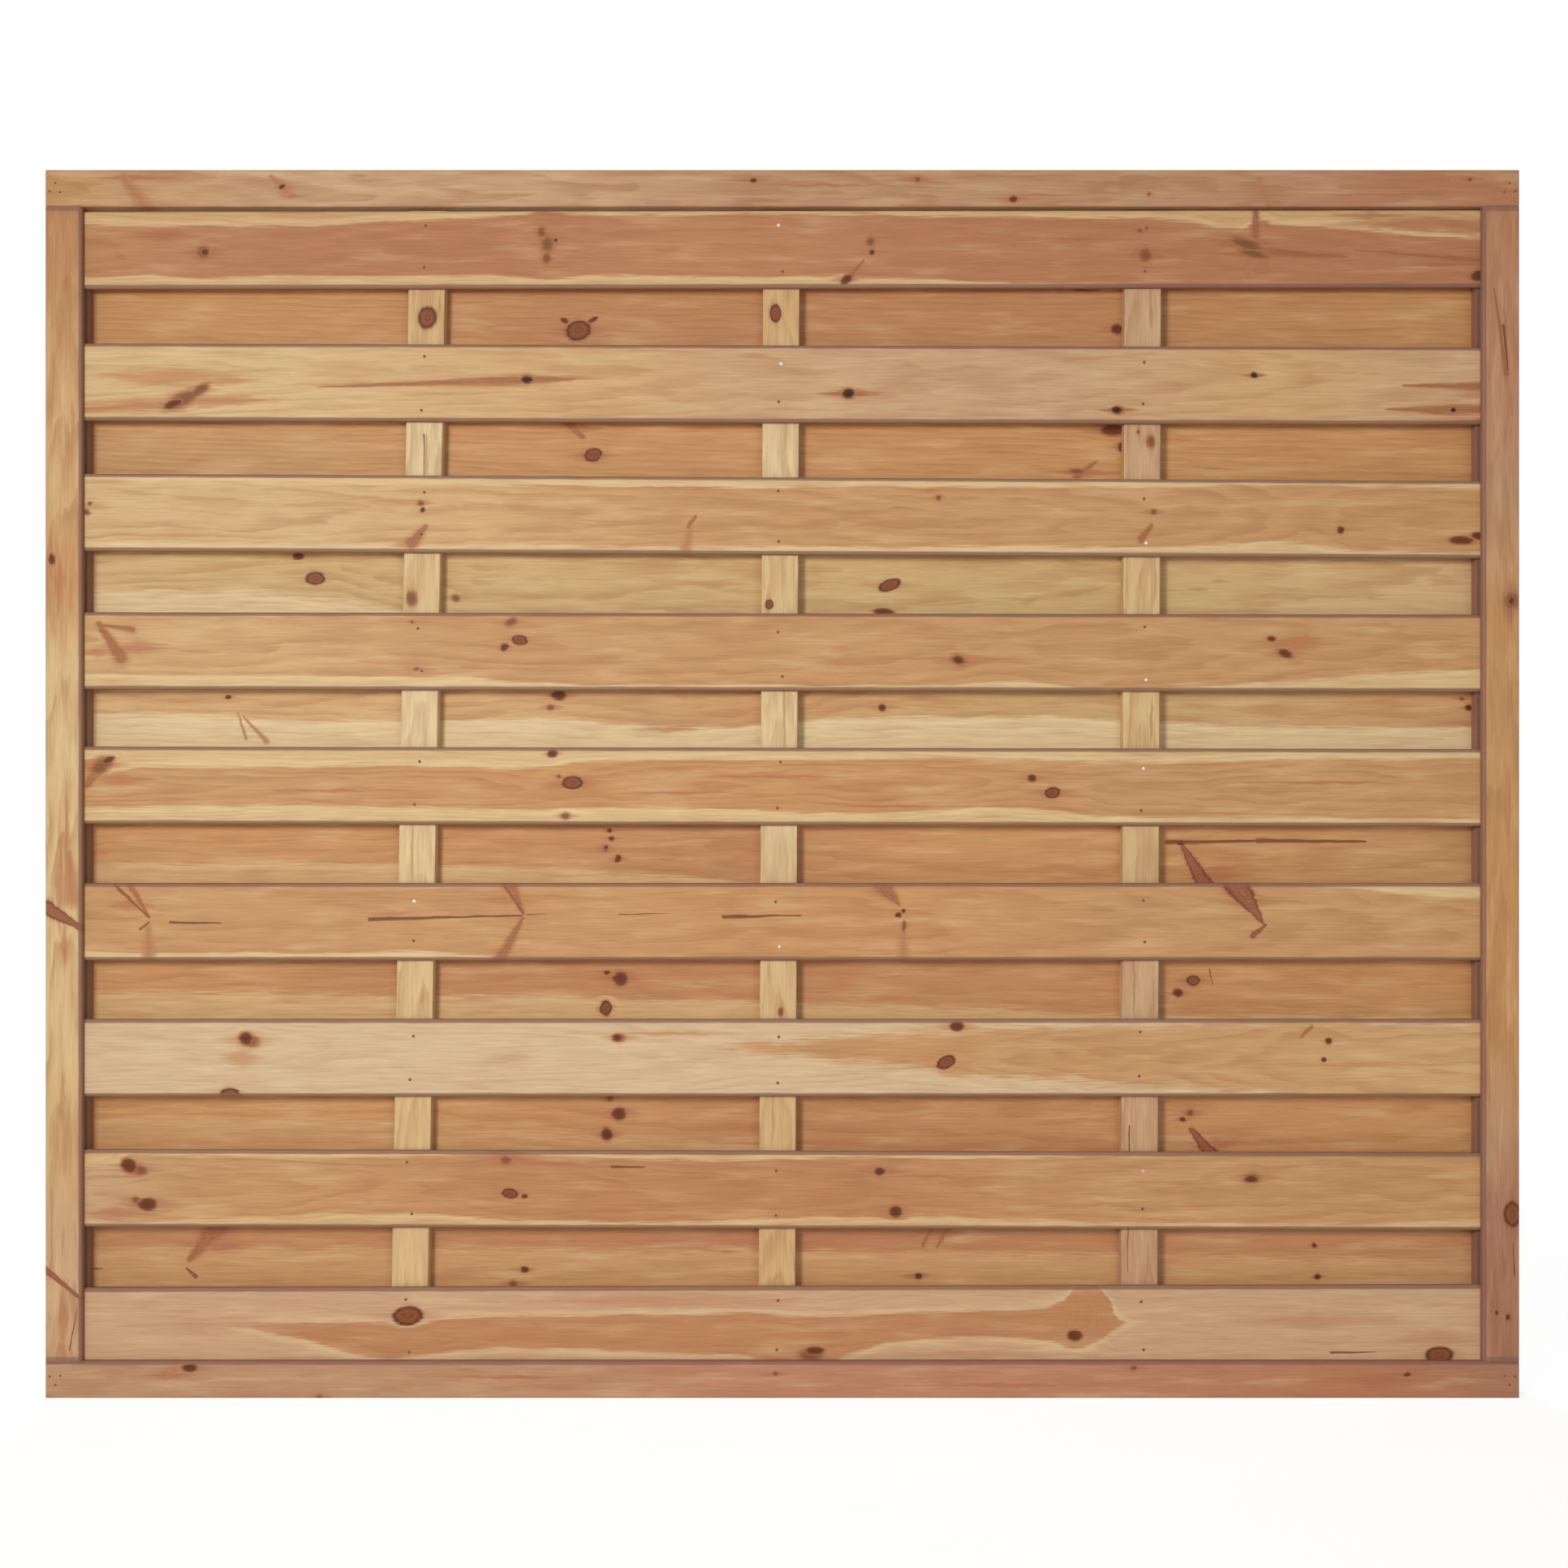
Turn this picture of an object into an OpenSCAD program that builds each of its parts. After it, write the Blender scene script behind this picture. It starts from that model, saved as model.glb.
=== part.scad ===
// Double-sided slatted fence panel in planed softwood, in millimetres.
// Two grooved stiles stand between two full-width rails, mortised and tenoned at the corners.
// Thin horizontal slats slide into the stile grooves in two layers, front and back, staggered so
// that each back slat closes the gap between two front slats. Three battens run between the layers,
// and the lowest front slat stands in a groove of the bottom rail.
// X runs along the panel from the outer face of the left stile, the front looks towards -Y,
// and Z is zero at half the height.

/* [Panel] */
// Overall width of the panel
panel_w = 1800; // [1200:10:2400]
// Overall height of the panel
panel_h = 1500; // [1200:10:1800]

/* [Frame timber] */
// Face width of the rails and stiles
frame_w = 45; // [40:1:60]
// Depth of the rails and stiles from front to back
frame_d = 45; // [38:1:60]
// Radius of the rounded arrises on the frame timber
frame_arris = 3; // [1:0.5:6]

/* [Corner joints] */
// Thickness of a stile tenon from front to back
tenon_t = 14; // [8:1:20]
// Width of a stile tenon across the face of the stile
tenon_w = 22; // [12:1:28]
// Length of a stile tenon beyond its shoulder
tenon_l = 26; // [15:1:30]
// Spare depth left beyond the end of a tenon in its mortise
mortise_room = 2; // [0:0.5:4]
// Clearance between a tenon and each wall of its mortise
tenon_clear = 0.2; // [0.1:0.1:0.5]

/* [Slats] */
// Number of slats in the front layer; the back layer has one fewer
front_slats = 9; // [5:1:10]
// Face width of a slat
slat_w = 95; // [80:1:120]
// Thickness of a slat
slat_t = 7; // [5:0.5:9]
// Radius of the rounded long edges of a slat
slat_arris = 3; // [0.5:0.5:3]
// Gap between the top front slat and the top rail
top_gap = 2; // [1.5:0.5:8]

/* [Stile grooves] */
// Depth of a groove into the inner face of a stile
groove_depth = 12; // [8:1:16]
// Room between the end of a slat and the bottom of its groove
groove_room = 2; // [1:0.5:4]
// Clearance between a slat and each side of its groove
groove_clear = 0.3; // [0.1:0.1:0.6]

/* [Bottom rail groove] */
// How far the lowest front slat stands in the groove of the bottom rail
seat_depth = 6; // [4:0.5:12]
// Room left in that groove under the slat
seat_room = 3; // [2.5:0.5:6]

/* [Battens] */
// Face width of a batten
batten_w = 45; // [30:1:70]
// Thickness of a batten, which is also the space between the two layers of slats
batten_t = 16; // [12:1:20]
// Radius of the rounded long edges of a batten
batten_arris = 1.5; // [0.5:0.5:4]

/* [Hidden] */
// The slats are nailed up by hand: how much lower each front slat ends at the right than at the left
slat_drops = [-2, 5, 9, 3, 3, 0, 0, 4, -4];
// How far each front slat sits above its even place
slat_lifts = [0, 0, 3, 1, 1, 0, -2, 1, 0];
// The battens stand at the quarter points, give or take where the head and the foot were set
batten_names = ["left_batten", "middle_batten", "right_batten"];
batten_head_shifts = [14, -1, -6];
batten_foot_shifts = [-10, -7, -11];

// Board colours, from the top of the panel down
front_tones = [
    "#b97c56", "#c9a475", "#cfa878", "#cba374", "#c08c5c",
    "#c18e60", "#d2ab7c", "#bf8a5b", "#cda679"
];
back_tones = ["#c38e5c", "#c08a58", "#d3b07c", "#d9bb88", "#c28c5e", "#bd8555", "#c18b5b", "#c79665"];
rail_tone = "#bd8a60";
stile_tone = "#c0875c";
batten_tone = "#d3b983";

inner_w = panel_w - 2 * frame_w;
inner_h = panel_h - 2 * frame_w;
slat_pitch = (inner_h - top_gap + seat_depth - slat_w) / (front_slats - 1);
slat_l = inner_w + 2 * (groove_depth - groove_room);
groove_w = slat_t + 2 * groove_clear;
layer_y = (batten_t + slat_t) / 2;
mortise_w = tenon_w + 2 * tenon_clear;
mortise_t = tenon_t + 2 * tenon_clear;
mortise_l = tenon_l + mortise_room;
curve_steps = 48;
cut_past = 1;

// A list is read round again from its start when there are more boards than entries
function entry(list, i) = list[(i - 1) % len(list)];

// Height of a front slat's centre at mid-panel, counted from the top
function front_z(i) = inner_h / 2 - top_gap - slat_w / 2 - (i - 1) * slat_pitch + entry(slat_lifts, i);

// In-plane lean of a front slat, from the drop between its ends
function front_lean(i) = atan(entry(slat_drops, i) / inner_w);

// A back slat sits midway between two front slats and shares their lean
function back_z(i) = (front_z(i) + front_z(i + 1)) / 2;
function back_lean(i) = (front_lean(i) + front_lean(i + 1)) / 2;

// Centre line of a batten at its head and its foot
function batten_x(i, shifts) = panel_w * i / (len(batten_names) + 1) + shifts[i - 1];

// Rectangle centred on the origin with its corners rounded
module rounded_rect(w, h, r) {
    square([w, h - 2 * r], center = true);
    square([w - 2 * r, h], center = true);
    for (sx = [-1, 1], sy = [-1, 1])
        translate([sx * (w / 2 - r), sy * (h / 2 - r)])
            circle(r = r, $fn = curve_steps);
}

// Board along X with rounded long edges, centred on the origin
module board(l, t, w, r) {
    rotate([90, 0, 90])
        linear_extrude(height = l, center = true)
            rounded_rect(t, w, r);
}

// Full-width rail with every arris eased and a blind mortise near each end, open downwards
module rail() {
    difference() {
        intersection() {
            board(panel_w, frame_d, frame_w, frame_arris);
            rotate([90, 0, 0])
                linear_extrude(height = frame_d, center = true)
                    rounded_rect(panel_w, frame_w, frame_arris);
            linear_extrude(height = frame_w, center = true)
                rounded_rect(panel_w, frame_d, frame_arris);
        }
        for (sx = [-1, 1])
            translate([
                sx * (panel_w - frame_w) / 2 - mortise_w / 2,
                -mortise_t / 2,
                -frame_w / 2 - cut_past
            ])
                cube([mortise_w, mortise_t, mortise_l + cut_past]);
    }
}

// Section of a stile: eased square with the two slat grooves open towards +X
module stile_section() {
    difference() {
        rounded_rect(frame_w, frame_d, frame_arris);
        for (sy = [-1, 1])
            translate([frame_w / 2 - groove_depth, sy * layer_y - groove_w / 2])
                square([groove_depth + cut_past, groove_w]);
    }
}

// Stile between the rails, with a tenon at each end
module stile() {
    linear_extrude(height = inner_h, center = true)
        stile_section();
    translate([-tenon_w / 2, -tenon_t / 2, -inner_h / 2 - tenon_l])
        cube([tenon_w, tenon_t, inner_h + 2 * tenon_l]);
}

module top_rail() {
    color(rail_tone)
        translate([panel_w / 2, 0, (panel_h - frame_w) / 2])
            rail();
}

// Groove along the top of the bottom rail, in line with the front grooves of the stiles
module seat_groove() {
    groove_l = inner_w + 2 * groove_depth;
    groove_h = seat_depth + seat_room;
    translate([(panel_w - groove_l) / 2, -layer_y - groove_w / 2, -inner_h / 2 - groove_h])
        cube([groove_l, groove_w, groove_h + cut_past]);
}

module bottom_rail() {
    color(rail_tone)
        difference() {
            translate([panel_w / 2, 0, -(panel_h - frame_w) / 2])
                mirror([0, 0, 1])
                    rail();
            seat_groove();
        }
}

module left_stile() {
    color(stile_tone)
        translate([frame_w / 2, 0, 0])
            stile();
}

module right_stile() {
    color(stile_tone)
        translate([panel_w - frame_w / 2, 0, 0])
            mirror([1, 0, 0])
                stile();
}

// Batten between the rails, leaning from its foot to its head and cut level at both ends
module batten(i) {
    head_x = batten_x(i, batten_head_shifts);
    foot_x = batten_x(i, batten_foot_shifts);
    color(batten_tone)
        intersection() {
            translate([(head_x + foot_x) / 2, 0, 0])
                rotate([0, atan((head_x - foot_x) / inner_h), 0])
                    linear_extrude(height = inner_h + 2 * frame_w, center = true)
                        rounded_rect(batten_w, batten_t, batten_arris);
            translate([0, -frame_d / 2, -inner_h / 2])
                cube([panel_w, frame_d, inner_h]);
        }
}

module slat() {
    board(slat_l, slat_t, slat_w, min(slat_arris, slat_t / 2 - 0.1));
}

module front_slat(i) {
    color(entry(front_tones, i))
        translate([panel_w / 2, -layer_y, front_z(i)])
            rotate([0, front_lean(i), 0])
                slat();
}

module back_slat(i) {
    color(entry(back_tones, i))
        translate([panel_w / 2, layer_y, back_z(i)])
            rotate([0, back_lean(i), 0])
                slat();
}

top_rail();
bottom_rail();
left_stile();
right_stile();
for (i = [1 : len(batten_names)])
    batten(i);
for (i = [1 : front_slats])
    front_slat(i);
for (i = [1 : front_slats - 1])
    back_slat(i);
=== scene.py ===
"""Dresses the slatted fence panel: pine for every board, nail heads, corner pins, camera and light.

Every board keeps its CAD solid. Its wood is worked out in the board's own millimetres, along its
length, across its face and through its depth, so that rings, knots and cracks run through the solid
and show on every face. Lengths are metres in the scene and millimetres in the wood.
"""
from __future__ import annotations

import logging
import math
from dataclasses import dataclass, field
from enum import Enum
from typing import Union

import bpy
import numpy as np
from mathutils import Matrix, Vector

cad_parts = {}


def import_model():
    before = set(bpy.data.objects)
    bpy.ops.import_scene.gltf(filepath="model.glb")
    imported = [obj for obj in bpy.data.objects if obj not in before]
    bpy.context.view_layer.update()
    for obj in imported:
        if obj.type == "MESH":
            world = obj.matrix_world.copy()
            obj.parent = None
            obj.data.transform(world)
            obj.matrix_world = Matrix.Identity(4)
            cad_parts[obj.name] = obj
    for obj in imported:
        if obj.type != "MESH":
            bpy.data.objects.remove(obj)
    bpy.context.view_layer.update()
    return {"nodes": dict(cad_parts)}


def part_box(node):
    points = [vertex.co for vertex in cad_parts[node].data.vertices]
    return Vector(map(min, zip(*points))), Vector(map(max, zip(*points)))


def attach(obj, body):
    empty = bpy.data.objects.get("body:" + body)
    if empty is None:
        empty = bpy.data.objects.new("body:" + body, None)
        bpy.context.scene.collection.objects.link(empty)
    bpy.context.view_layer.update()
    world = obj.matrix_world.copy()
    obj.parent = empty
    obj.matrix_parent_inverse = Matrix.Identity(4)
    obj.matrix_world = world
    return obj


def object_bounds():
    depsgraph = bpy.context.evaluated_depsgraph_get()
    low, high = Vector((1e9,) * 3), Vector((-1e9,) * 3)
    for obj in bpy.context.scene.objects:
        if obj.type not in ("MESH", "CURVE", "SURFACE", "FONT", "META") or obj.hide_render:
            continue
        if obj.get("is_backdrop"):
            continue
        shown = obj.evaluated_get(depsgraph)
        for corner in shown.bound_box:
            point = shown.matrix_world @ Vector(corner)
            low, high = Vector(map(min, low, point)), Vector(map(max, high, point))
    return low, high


LOG = logging.getLogger("fence_panel")
MM = 0.001
PANEL_LENGTH = 1.8
FRONT_SLATS = 9
BATTENS = ("left_batten", "middle_batten", "right_batten")
SEED_GAP = 10000.0
NOISE_ROUGHNESS = 0.55
LAMP_STRENGTH = 4 * math.pi

Number = Union["Signal", float]


def linear(tone: str) -> tuple[float, float, float, float]:
    """Turns a colour written as it looks, such as #c39062, into linear values.

    Args:
        tone: Six hexadecimal digits after a hash sign.

    Returns:
        Red, green, blue and an alpha of one.
    """
    # the usual curve of a screen
    parts = [int(tone[i : i + 2], 16) / 255 for i in (1, 3, 5)]
    red, green, blue = (p / 12.92 if p <= 0.04045 else ((p + 0.055) / 1.055) ** 2.4 for p in parts)
    return red, green, blue, 1.0


class Signal:
    """A number, vector or colour on its way between shader nodes, with arithmetic for numbers."""

    def __init__(self, graph: Graph, socket: bpy.types.NodeSocket) -> None:
        self.graph = graph
        self.socket = socket

    def _math(self, operation: str, *values: Number) -> Signal:
        """Adds one Math node with this operation and these values in order."""
        inputs = dict(enumerate(values))
        return self.graph.add("ShaderNodeMath", {"operation": operation}, inputs)

    def __add__(self, other: Number) -> Signal:
        """This plus the other."""
        return self._math("ADD", self, other)

    def __sub__(self, other: Number) -> Signal:
        """This less the other."""
        return self._math("SUBTRACT", self, other)

    def __rsub__(self, other: Number) -> Signal:
        """The other less this."""
        return self._math("SUBTRACT", other, self)

    def __mul__(self, other: Number) -> Signal:
        """This times the other."""
        return self._math("MULTIPLY", self, other)

    def __truediv__(self, other: Number) -> Signal:
        """This over the other."""
        return self._math("DIVIDE", self, other)

    def __rtruediv__(self, other: Number) -> Signal:
        """The other over this."""
        return self._math("DIVIDE", other, self)

    def __abs__(self) -> Signal:
        """The size of this, without its sign."""
        return self._math("ABSOLUTE", self)

    def times_plus(self, factor: Number, extra: Number) -> Signal:
        """This times a factor, plus an extra, in one node."""
        return self._math("MULTIPLY_ADD", self, factor, extra)

    def about(self, middle: float, reach: float) -> Signal:
        """A noise about one half, laid about this middle and reaching so far to either side."""
        return self.times_plus(2 * reach, middle - reach)

    def least(self, other: Number) -> Signal:
        """The smaller of the two."""
        return self._math("MINIMUM", self, other)

    def most(self, other: Number) -> Signal:
        """The larger of the two."""
        return self._math("MAXIMUM", self, other)

    def root(self) -> Signal:
        """The square root."""
        return self._math("SQRT", self)

    def fraction(self) -> Signal:
        """What is left after the last whole number."""
        return self._math("FRACT", self)

    def rise(self, none: float, full: float) -> Signal:
        """A smooth step from zero where this equals `none` to one where it equals `full`."""
        settings = {"interpolation_type": "SMOOTHSTEP"}
        inputs = {"Value": self, "From Min": none, "From Max": full}
        return self.graph.add("ShaderNodeMapRange", settings, inputs)


class Graph:
    """The node tree of a material, a lamp or the world."""

    def __init__(self, owner: bpy.types.ID) -> None:
        """Starts with an empty tree.

        Args:
            owner: The material, lamp or world that the tree belongs to.
        """
        self.owner = owner
        owner.use_nodes = True
        self.tree = owner.node_tree
        self.tree.nodes.clear()

    def add(
        self,
        kind: str,
        settings: dict[str, object] | None = None,
        inputs: dict[int | str, object] | None = None,
        output: int | str | None = 0,
    ) -> Signal | None:
        """Adds a node: its settings first, then the values or links of its sockets.

        Args:
            kind: The node's type.
            settings: Properties of the node; "stops" are a ramp's positions and colours.
            inputs: Values or signals by socket name or number.
            output: The socket whose signal is wanted, or none.

        Returns:
            The signal at that output, if one is wanted.
        """
        node = self.tree.nodes.new(kind)
        for name, value in (settings or {}).items():
            if name == "stops":
                self._set_stops(node.color_ramp, value)
            elif name == "interpolation":
                node.color_ramp.interpolation = value
            else:
                setattr(node, name, value)
        for name, value in (inputs or {}).items():
            if isinstance(value, Signal):
                self.tree.links.new(value.socket, node.inputs[name])
            else:
                node.inputs[name].default_value = value
        return None if output is None else Signal(self, node.outputs[output])

    @staticmethod
    def _set_stops(ramp: bpy.types.ColorRamp, stops: list[tuple[float, tuple]]) -> None:
        """Gives a ramp its stops, in order of place."""
        while len(ramp.elements) < len(stops):
            ramp.elements.new(1.0)
        for element, (place, color) in zip(ramp.elements, stops):
            element.position = place
            element.color = color

    def ramp(self, at: Number, stops: list[tuple[float, tuple]], interpolation: str) -> Signal:
        """Reads a colour from a ramp."""
        settings = {"stops": stops, "interpolation": interpolation}
        return self.add("ShaderNodeValToRGB", settings, {"Fac": at})

    def mix(self, factor: Number, first: object, second: object, blend: str = "MIX") -> Signal:
        """Mixes two colours, from the first at factor zero."""
        settings = {"data_type": "RGBA", "blend_type": blend}
        return self.add("ShaderNodeMix", settings, {0: factor, 6: first, 7: second}, 2)

    def vector(self, operation: str, *values: object, output: int | str = 0) -> Signal:
        """Adds one Vector Math node with these values in order."""
        inputs = dict(enumerate(values))
        return self.add("ShaderNodeVectorMath", {"operation": operation}, inputs, output)

    def parts(self, vector: Signal) -> tuple[Signal, Signal, Signal]:
        """Splits a vector into its three numbers."""
        first = self.add("ShaderNodeSeparateXYZ", None, {0: vector})
        outputs = first.socket.node.outputs
        return first, Signal(self, outputs[1]), Signal(self, outputs[2])

    def noise(self, at: Signal, lengths: tuple[float, float], detail: float = 2.0) -> Signal:
        """Flat noise whose features are about this long and tall, in the units of the place given.

        Args:
            at: The place.
            lengths: Size of a feature along X and Y.
            detail: How many finer layers are added.

        Returns:
            The noise's colour, three numbers about one half.
        """
        scaled = self.vector("MULTIPLY", at, (1 / lengths[0], 1 / lengths[1], 0.0))
        inputs = {"Vector": scaled, "Scale": 1.0, "Detail": detail, "Roughness": NOISE_ROUGHNESS}
        return self.add("ShaderNodeTexNoise", {"noise_dimensions": "2D"}, inputs, "Color")

    def output(self, surface: Signal, kind: str = "Material") -> None:
        """Links a surface to the tree's output, which is a material's, a light's or the world's."""
        self.add(f"ShaderNodeOutput{kind}", None, {"Surface": surface}, None)


class Tone(Enum):
    """Tones of the planed, brown-treated pine, from the palest sapwood to the darkest heart."""

    STRAW = "#d8bd90"
    CREAM = "#ceb18b"
    WHEAT = "#d1b07e"
    OAT = "#cca979"
    SAND = "#c39d78"
    BUFF = "#c3a26e"
    HONEY = "#c9a16f"
    FAWN = "#c29c75"
    TAN = "#c09161"
    AMBER = "#c08d5a"
    DRAB = "#b68c68"
    CHESTNUT = "#b58056"
    CLAY = "#b58060"
    RUSSET = "#af7652"
    COCOA = "#a67359"


class Growth(Enum):
    """How a branch looks where the board cuts across it."""

    FAINT = "a brown knot without an outline"
    RINGED = "a sound knot with a dark ring"
    BLACK = "a dead knot that is dark in the middle"
    PIT = "a small knot that has gone black"


class Cut(Enum):
    """How a branch looks where the board is cut along it."""

    PALE = "a faint trace, little darker than the wood"
    BROWN = "a soft brown wedge"
    DARK = "a crisp wedge with a dark rim"


@dataclass(frozen=True)
class Knot:
    """A branch cut across, in millimetres along the board and up from its centre line.

    It is longer than it is tall and leans by `tilt` degrees. Its tail is a multiple of its length.
    """

    along: float
    up: float
    size: float
    growth: Growth = Growth.RINGED
    longer: float = 1.3
    tail: float = 4.0
    tilt: float = 0.0


@dataclass(frozen=True)
class Spike:
    """A branch cut lengthwise, a wedge from its thin tip to its wide root, in millimetres."""

    tip: tuple[float, float]
    root: tuple[float, float]
    thin: float = 2.0
    wide: float = 7.0
    cut: Cut = Cut.BROWN


@dataclass(frozen=True)
class Crack:
    """A drying crack or a dark stroke along the grain, in millimetres."""

    start: tuple[float, float]
    end: tuple[float, float]
    width: float = 1.0


@dataclass(frozen=True)
class Stain:
    """A long soft streak of darker wood, pointed at both ends, in millimetres."""

    along: float
    up: float
    length: float
    height: float


@dataclass(frozen=True)
class Heart:
    """Foot and head of the heartwood at one place along the board, in millimetres.

    A foot above its head leaves no heart there.
    """

    along: float
    foot: float
    head: float


@dataclass(frozen=True)
class Rings:
    """Growth rings of a board: their width, and where the pith lies, in millimetres."""

    width: float = 5.0
    pith_up: float = 0.0
    pith_depth: float = 34.0
    slope: float = 0.02
    strength: float = 0.5


Mark = Union[Knot, Spike, Crack, Stain]


@dataclass(frozen=True)
class Wood:
    """Everything that sets one board's wood apart from the next.

    The heartwood fades into the sapwood over `blur` millimetres to either side of its edge.
    """

    tones: tuple[tuple[float, Tone], ...]
    sap: Tone = Tone.WHEAT
    hearts: tuple[Heart, ...] = ()
    blur: float = 2.2
    rings: Rings = Rings()
    marks: tuple[Mark, ...] = ()
    stain: str = "#ad6f48"
    # widths of the shade painted along the face's eased edges, foot first then head, in millimetres
    edges: tuple[float, float] = (5.6, 5.6)
    shoulder: float = 0.0


@dataclass(frozen=True)
class Brush:
    """How one kind of mark is painted.

    Its colours go from its middle out. Its rim is shaken by `fray`, and fades from `full` to `none`.
    """

    colors: tuple[tuple[float, str], ...]
    fray: float
    none: float
    full: float
    strength: float = 1.0


BRUSHES: dict[str, Brush] = {
    Cut.PALE.name: Brush(
        colors=((0.0, "#a97650"), (0.5, "#b07e56"), (1.0, "#bd8f63")),
        fray=1.2, none=1.5, full=0.3, strength=0.62,
    ),
    Cut.BROWN.name: Brush(
        colors=(
            (0.0, "#8e5936"), (0.25, "#a36b45"), (0.45, "#8b5534"), (0.7, "#a26a44"), (0.9, "#96613d"),
            (1.0, "#b58255"),
        ),
        fray=1.0, none=1.35, full=0.45, strength=0.8,
    ),
    Cut.DARK.name: Brush(
        colors=(
            (0.0, "#9c6042"), (0.22, "#84492f"), (0.4, "#9a5d40"), (0.62, "#844a30"), (0.86, "#66341e"),
            (1.0, "#845033"),
        ),
        fray=0.55, none=1.2, full=0.85, strength=0.92,
    ),
    Growth.FAINT.name: Brush(
        colors=((0.0, "#7b4a2e"), (0.5, "#86522f"), (1.0, "#a8744c")),
        fray=0.6, none=1.35, full=0.6,
    ),
    Growth.RINGED.name: Brush(
        colors=(
            (0.0, "#894d2f"), (0.35, "#7b4225"), (0.55, "#905431"), (0.75, "#753d21"), (0.9, "#572810"),
            (1.0, "#855637"),
        ),
        fray=0.26, none=1.22, full=0.9,
    ),
    Growth.BLACK.name: Brush(
        colors=((0.0, "#5a2b14"), (0.65, "#683417"), (0.88, "#7e4727"), (1.0, "#9a6842")),
        fray=0.55, none=1.35, full=0.85,
    ),
    Growth.PIT.name: Brush(
        colors=((0.0, "#1c0a05"), (0.65, "#36170a"), (0.88, "#6a3a1f"), (1.0, "#945f3b")),
        fray=0.5, none=1.35, full=0.9,
    ),
    "crack": Brush(
        colors=((0.0, "#6b3820"), (1.0, "#74422a")),
        fray=1.2, none=1.7, full=0.6, strength=0.88,
    ),
}


@dataclass(frozen=True)
class PineFinish:
    """What all the boards share: planed, brown-treated pine, with shade painted along its eased edges.

    A size is the length and height of a noise's features, a reach is how far a noise moves a place, and
    both are in millimetres. A share is how much of a colour is laid on, from 0 to 1. A pair called a
    rise or a fall is where a smooth step starts and where it ends.
    """

    # colour of the shade painted along the eased edges; the dark band at the shoulders takes it too
    edge: str = "#80594a"
    late_wood: str = "#9c673e"
    pale: str = "#e0c799"
    end_grain: str = "#9a6a42"
    edge_shade_share: float = 0.85
    shoulder_share: float = 0.7
    end_share: float = 0.55
    stain_share: float = 0.28
    pale_share: float = 0.2
    tail_share: float = 0.7
    rim_share: float = 0.66
    edge_shade_blur: float = 2.2
    edge_shade_shake: float = 0.8
    shoulder_rise: tuple[float, float] = (8.0, 4.0)
    shoulder_shake: float = 1.5
    end_rise: tuple[float, float] = (0.6, 0.8)
    roughness: float = 0.62
    roughness_spread: float = 0.1
    specular: float = 0.28
    relief: float = 0.0004
    relief_strength: float = 0.6
    through: float = 0.62
    seed_up: float = 0.37
    sway_size: tuple[float, float] = (260.0, 70.0)
    sway_reach: tuple[float, float] = (24.0, 9.0)
    fray_size: tuple[float, float] = (24.0, 7.0)
    ragged_reach: tuple[float, float] = (6.0, 4.0)
    crisp_reach: tuple[float, float] = (3.0, 1.8)
    cloud_size: tuple[float, float] = (110.0, 15.0)
    cloud_rise: tuple[float, float] = (0.5, 0.8)
    fibre_size: tuple[float, float] = (48.0, 2.2)
    fibre_depth: float = 0.18
    ring_profile: tuple[tuple[float, float], ...] = (
        (0.0, 0.0), (0.3, 0.1), (0.82, 1.0), (0.94, 0.8), (1.0, 0.0),
    )
    late_rise: tuple[float, float] = (0.75, 0.35)
    sap_late: float = 0.5
    band_reach: float = 200.0
    least_half: float = 26.0
    crowding: float = 1.4
    heart_wobble: float = 4.0
    pith_wobble: float = 7.0
    ring_wobble: float = 1.1
    rim_rise: tuple[float, float] = (-1.0, 3.0)
    rim_fall: tuple[float, float] = (11.0, 4.0)
    knot_rise: tuple[float, float] = (1.05, 0.8)
    knot_rings: float = 3.0
    knot_late: float = 0.35
    tail_height: float = 1.6
    tail_shake: float = 0.45
    tail_rise: tuple[float, float] = (1.2, 0.3)
    halo: float = 0.6
    crack_end: float = 0.4


@dataclass(frozen=True)
class Lie:
    """Where a board lies: the origin of its own axes, its turn about Y and half its face width."""

    origin: tuple[float, float, float]
    turn: float
    half: float


def lie_of(node: bpy.types.Object, upright: bool) -> Lie:
    """Reads a board's centre line from the end points of its CAD mesh.

    The origin is on the centre line at X = 0 for a level board and at Z = 0 for an upright one, so
    that "along" is the panel's own X or Z.

    Args:
        node: The board's CAD object.
        upright: Whether the board stands.

    Returns:
        The board's lie in metres and radians.
    """
    points = np.empty(len(node.data.vertices) * 3)
    node.data.vertices.foreach_get("co", points)
    points = points.reshape(-1, 3)
    run, across = (2, 0) if upright else (0, 2)
    slack = 0.004
    edges = (points[:, run].min(), points[:, run].max())
    ends = [points[abs(points[:, run] - edge) < slack] for edge in edges]
    middles = [(end.min(0) + end.max(0)) / 2 for end in ends]
    slope = (middles[1][across] - middles[0][across]) / (middles[1][run] - middles[0][run])
    base = middles[0][across] - slope * middles[0][run]
    half = float(abs(points[:, across] - base - slope * points[:, run]).max())
    depth = (points[:, 1].min() + points[:, 1].max()) / 2
    if upright:
        return Lie((base, depth, 0.0), math.atan(slope) - math.pi / 2, half)
    return Lie((0.0, depth, base), -math.atan(slope), half)


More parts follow.
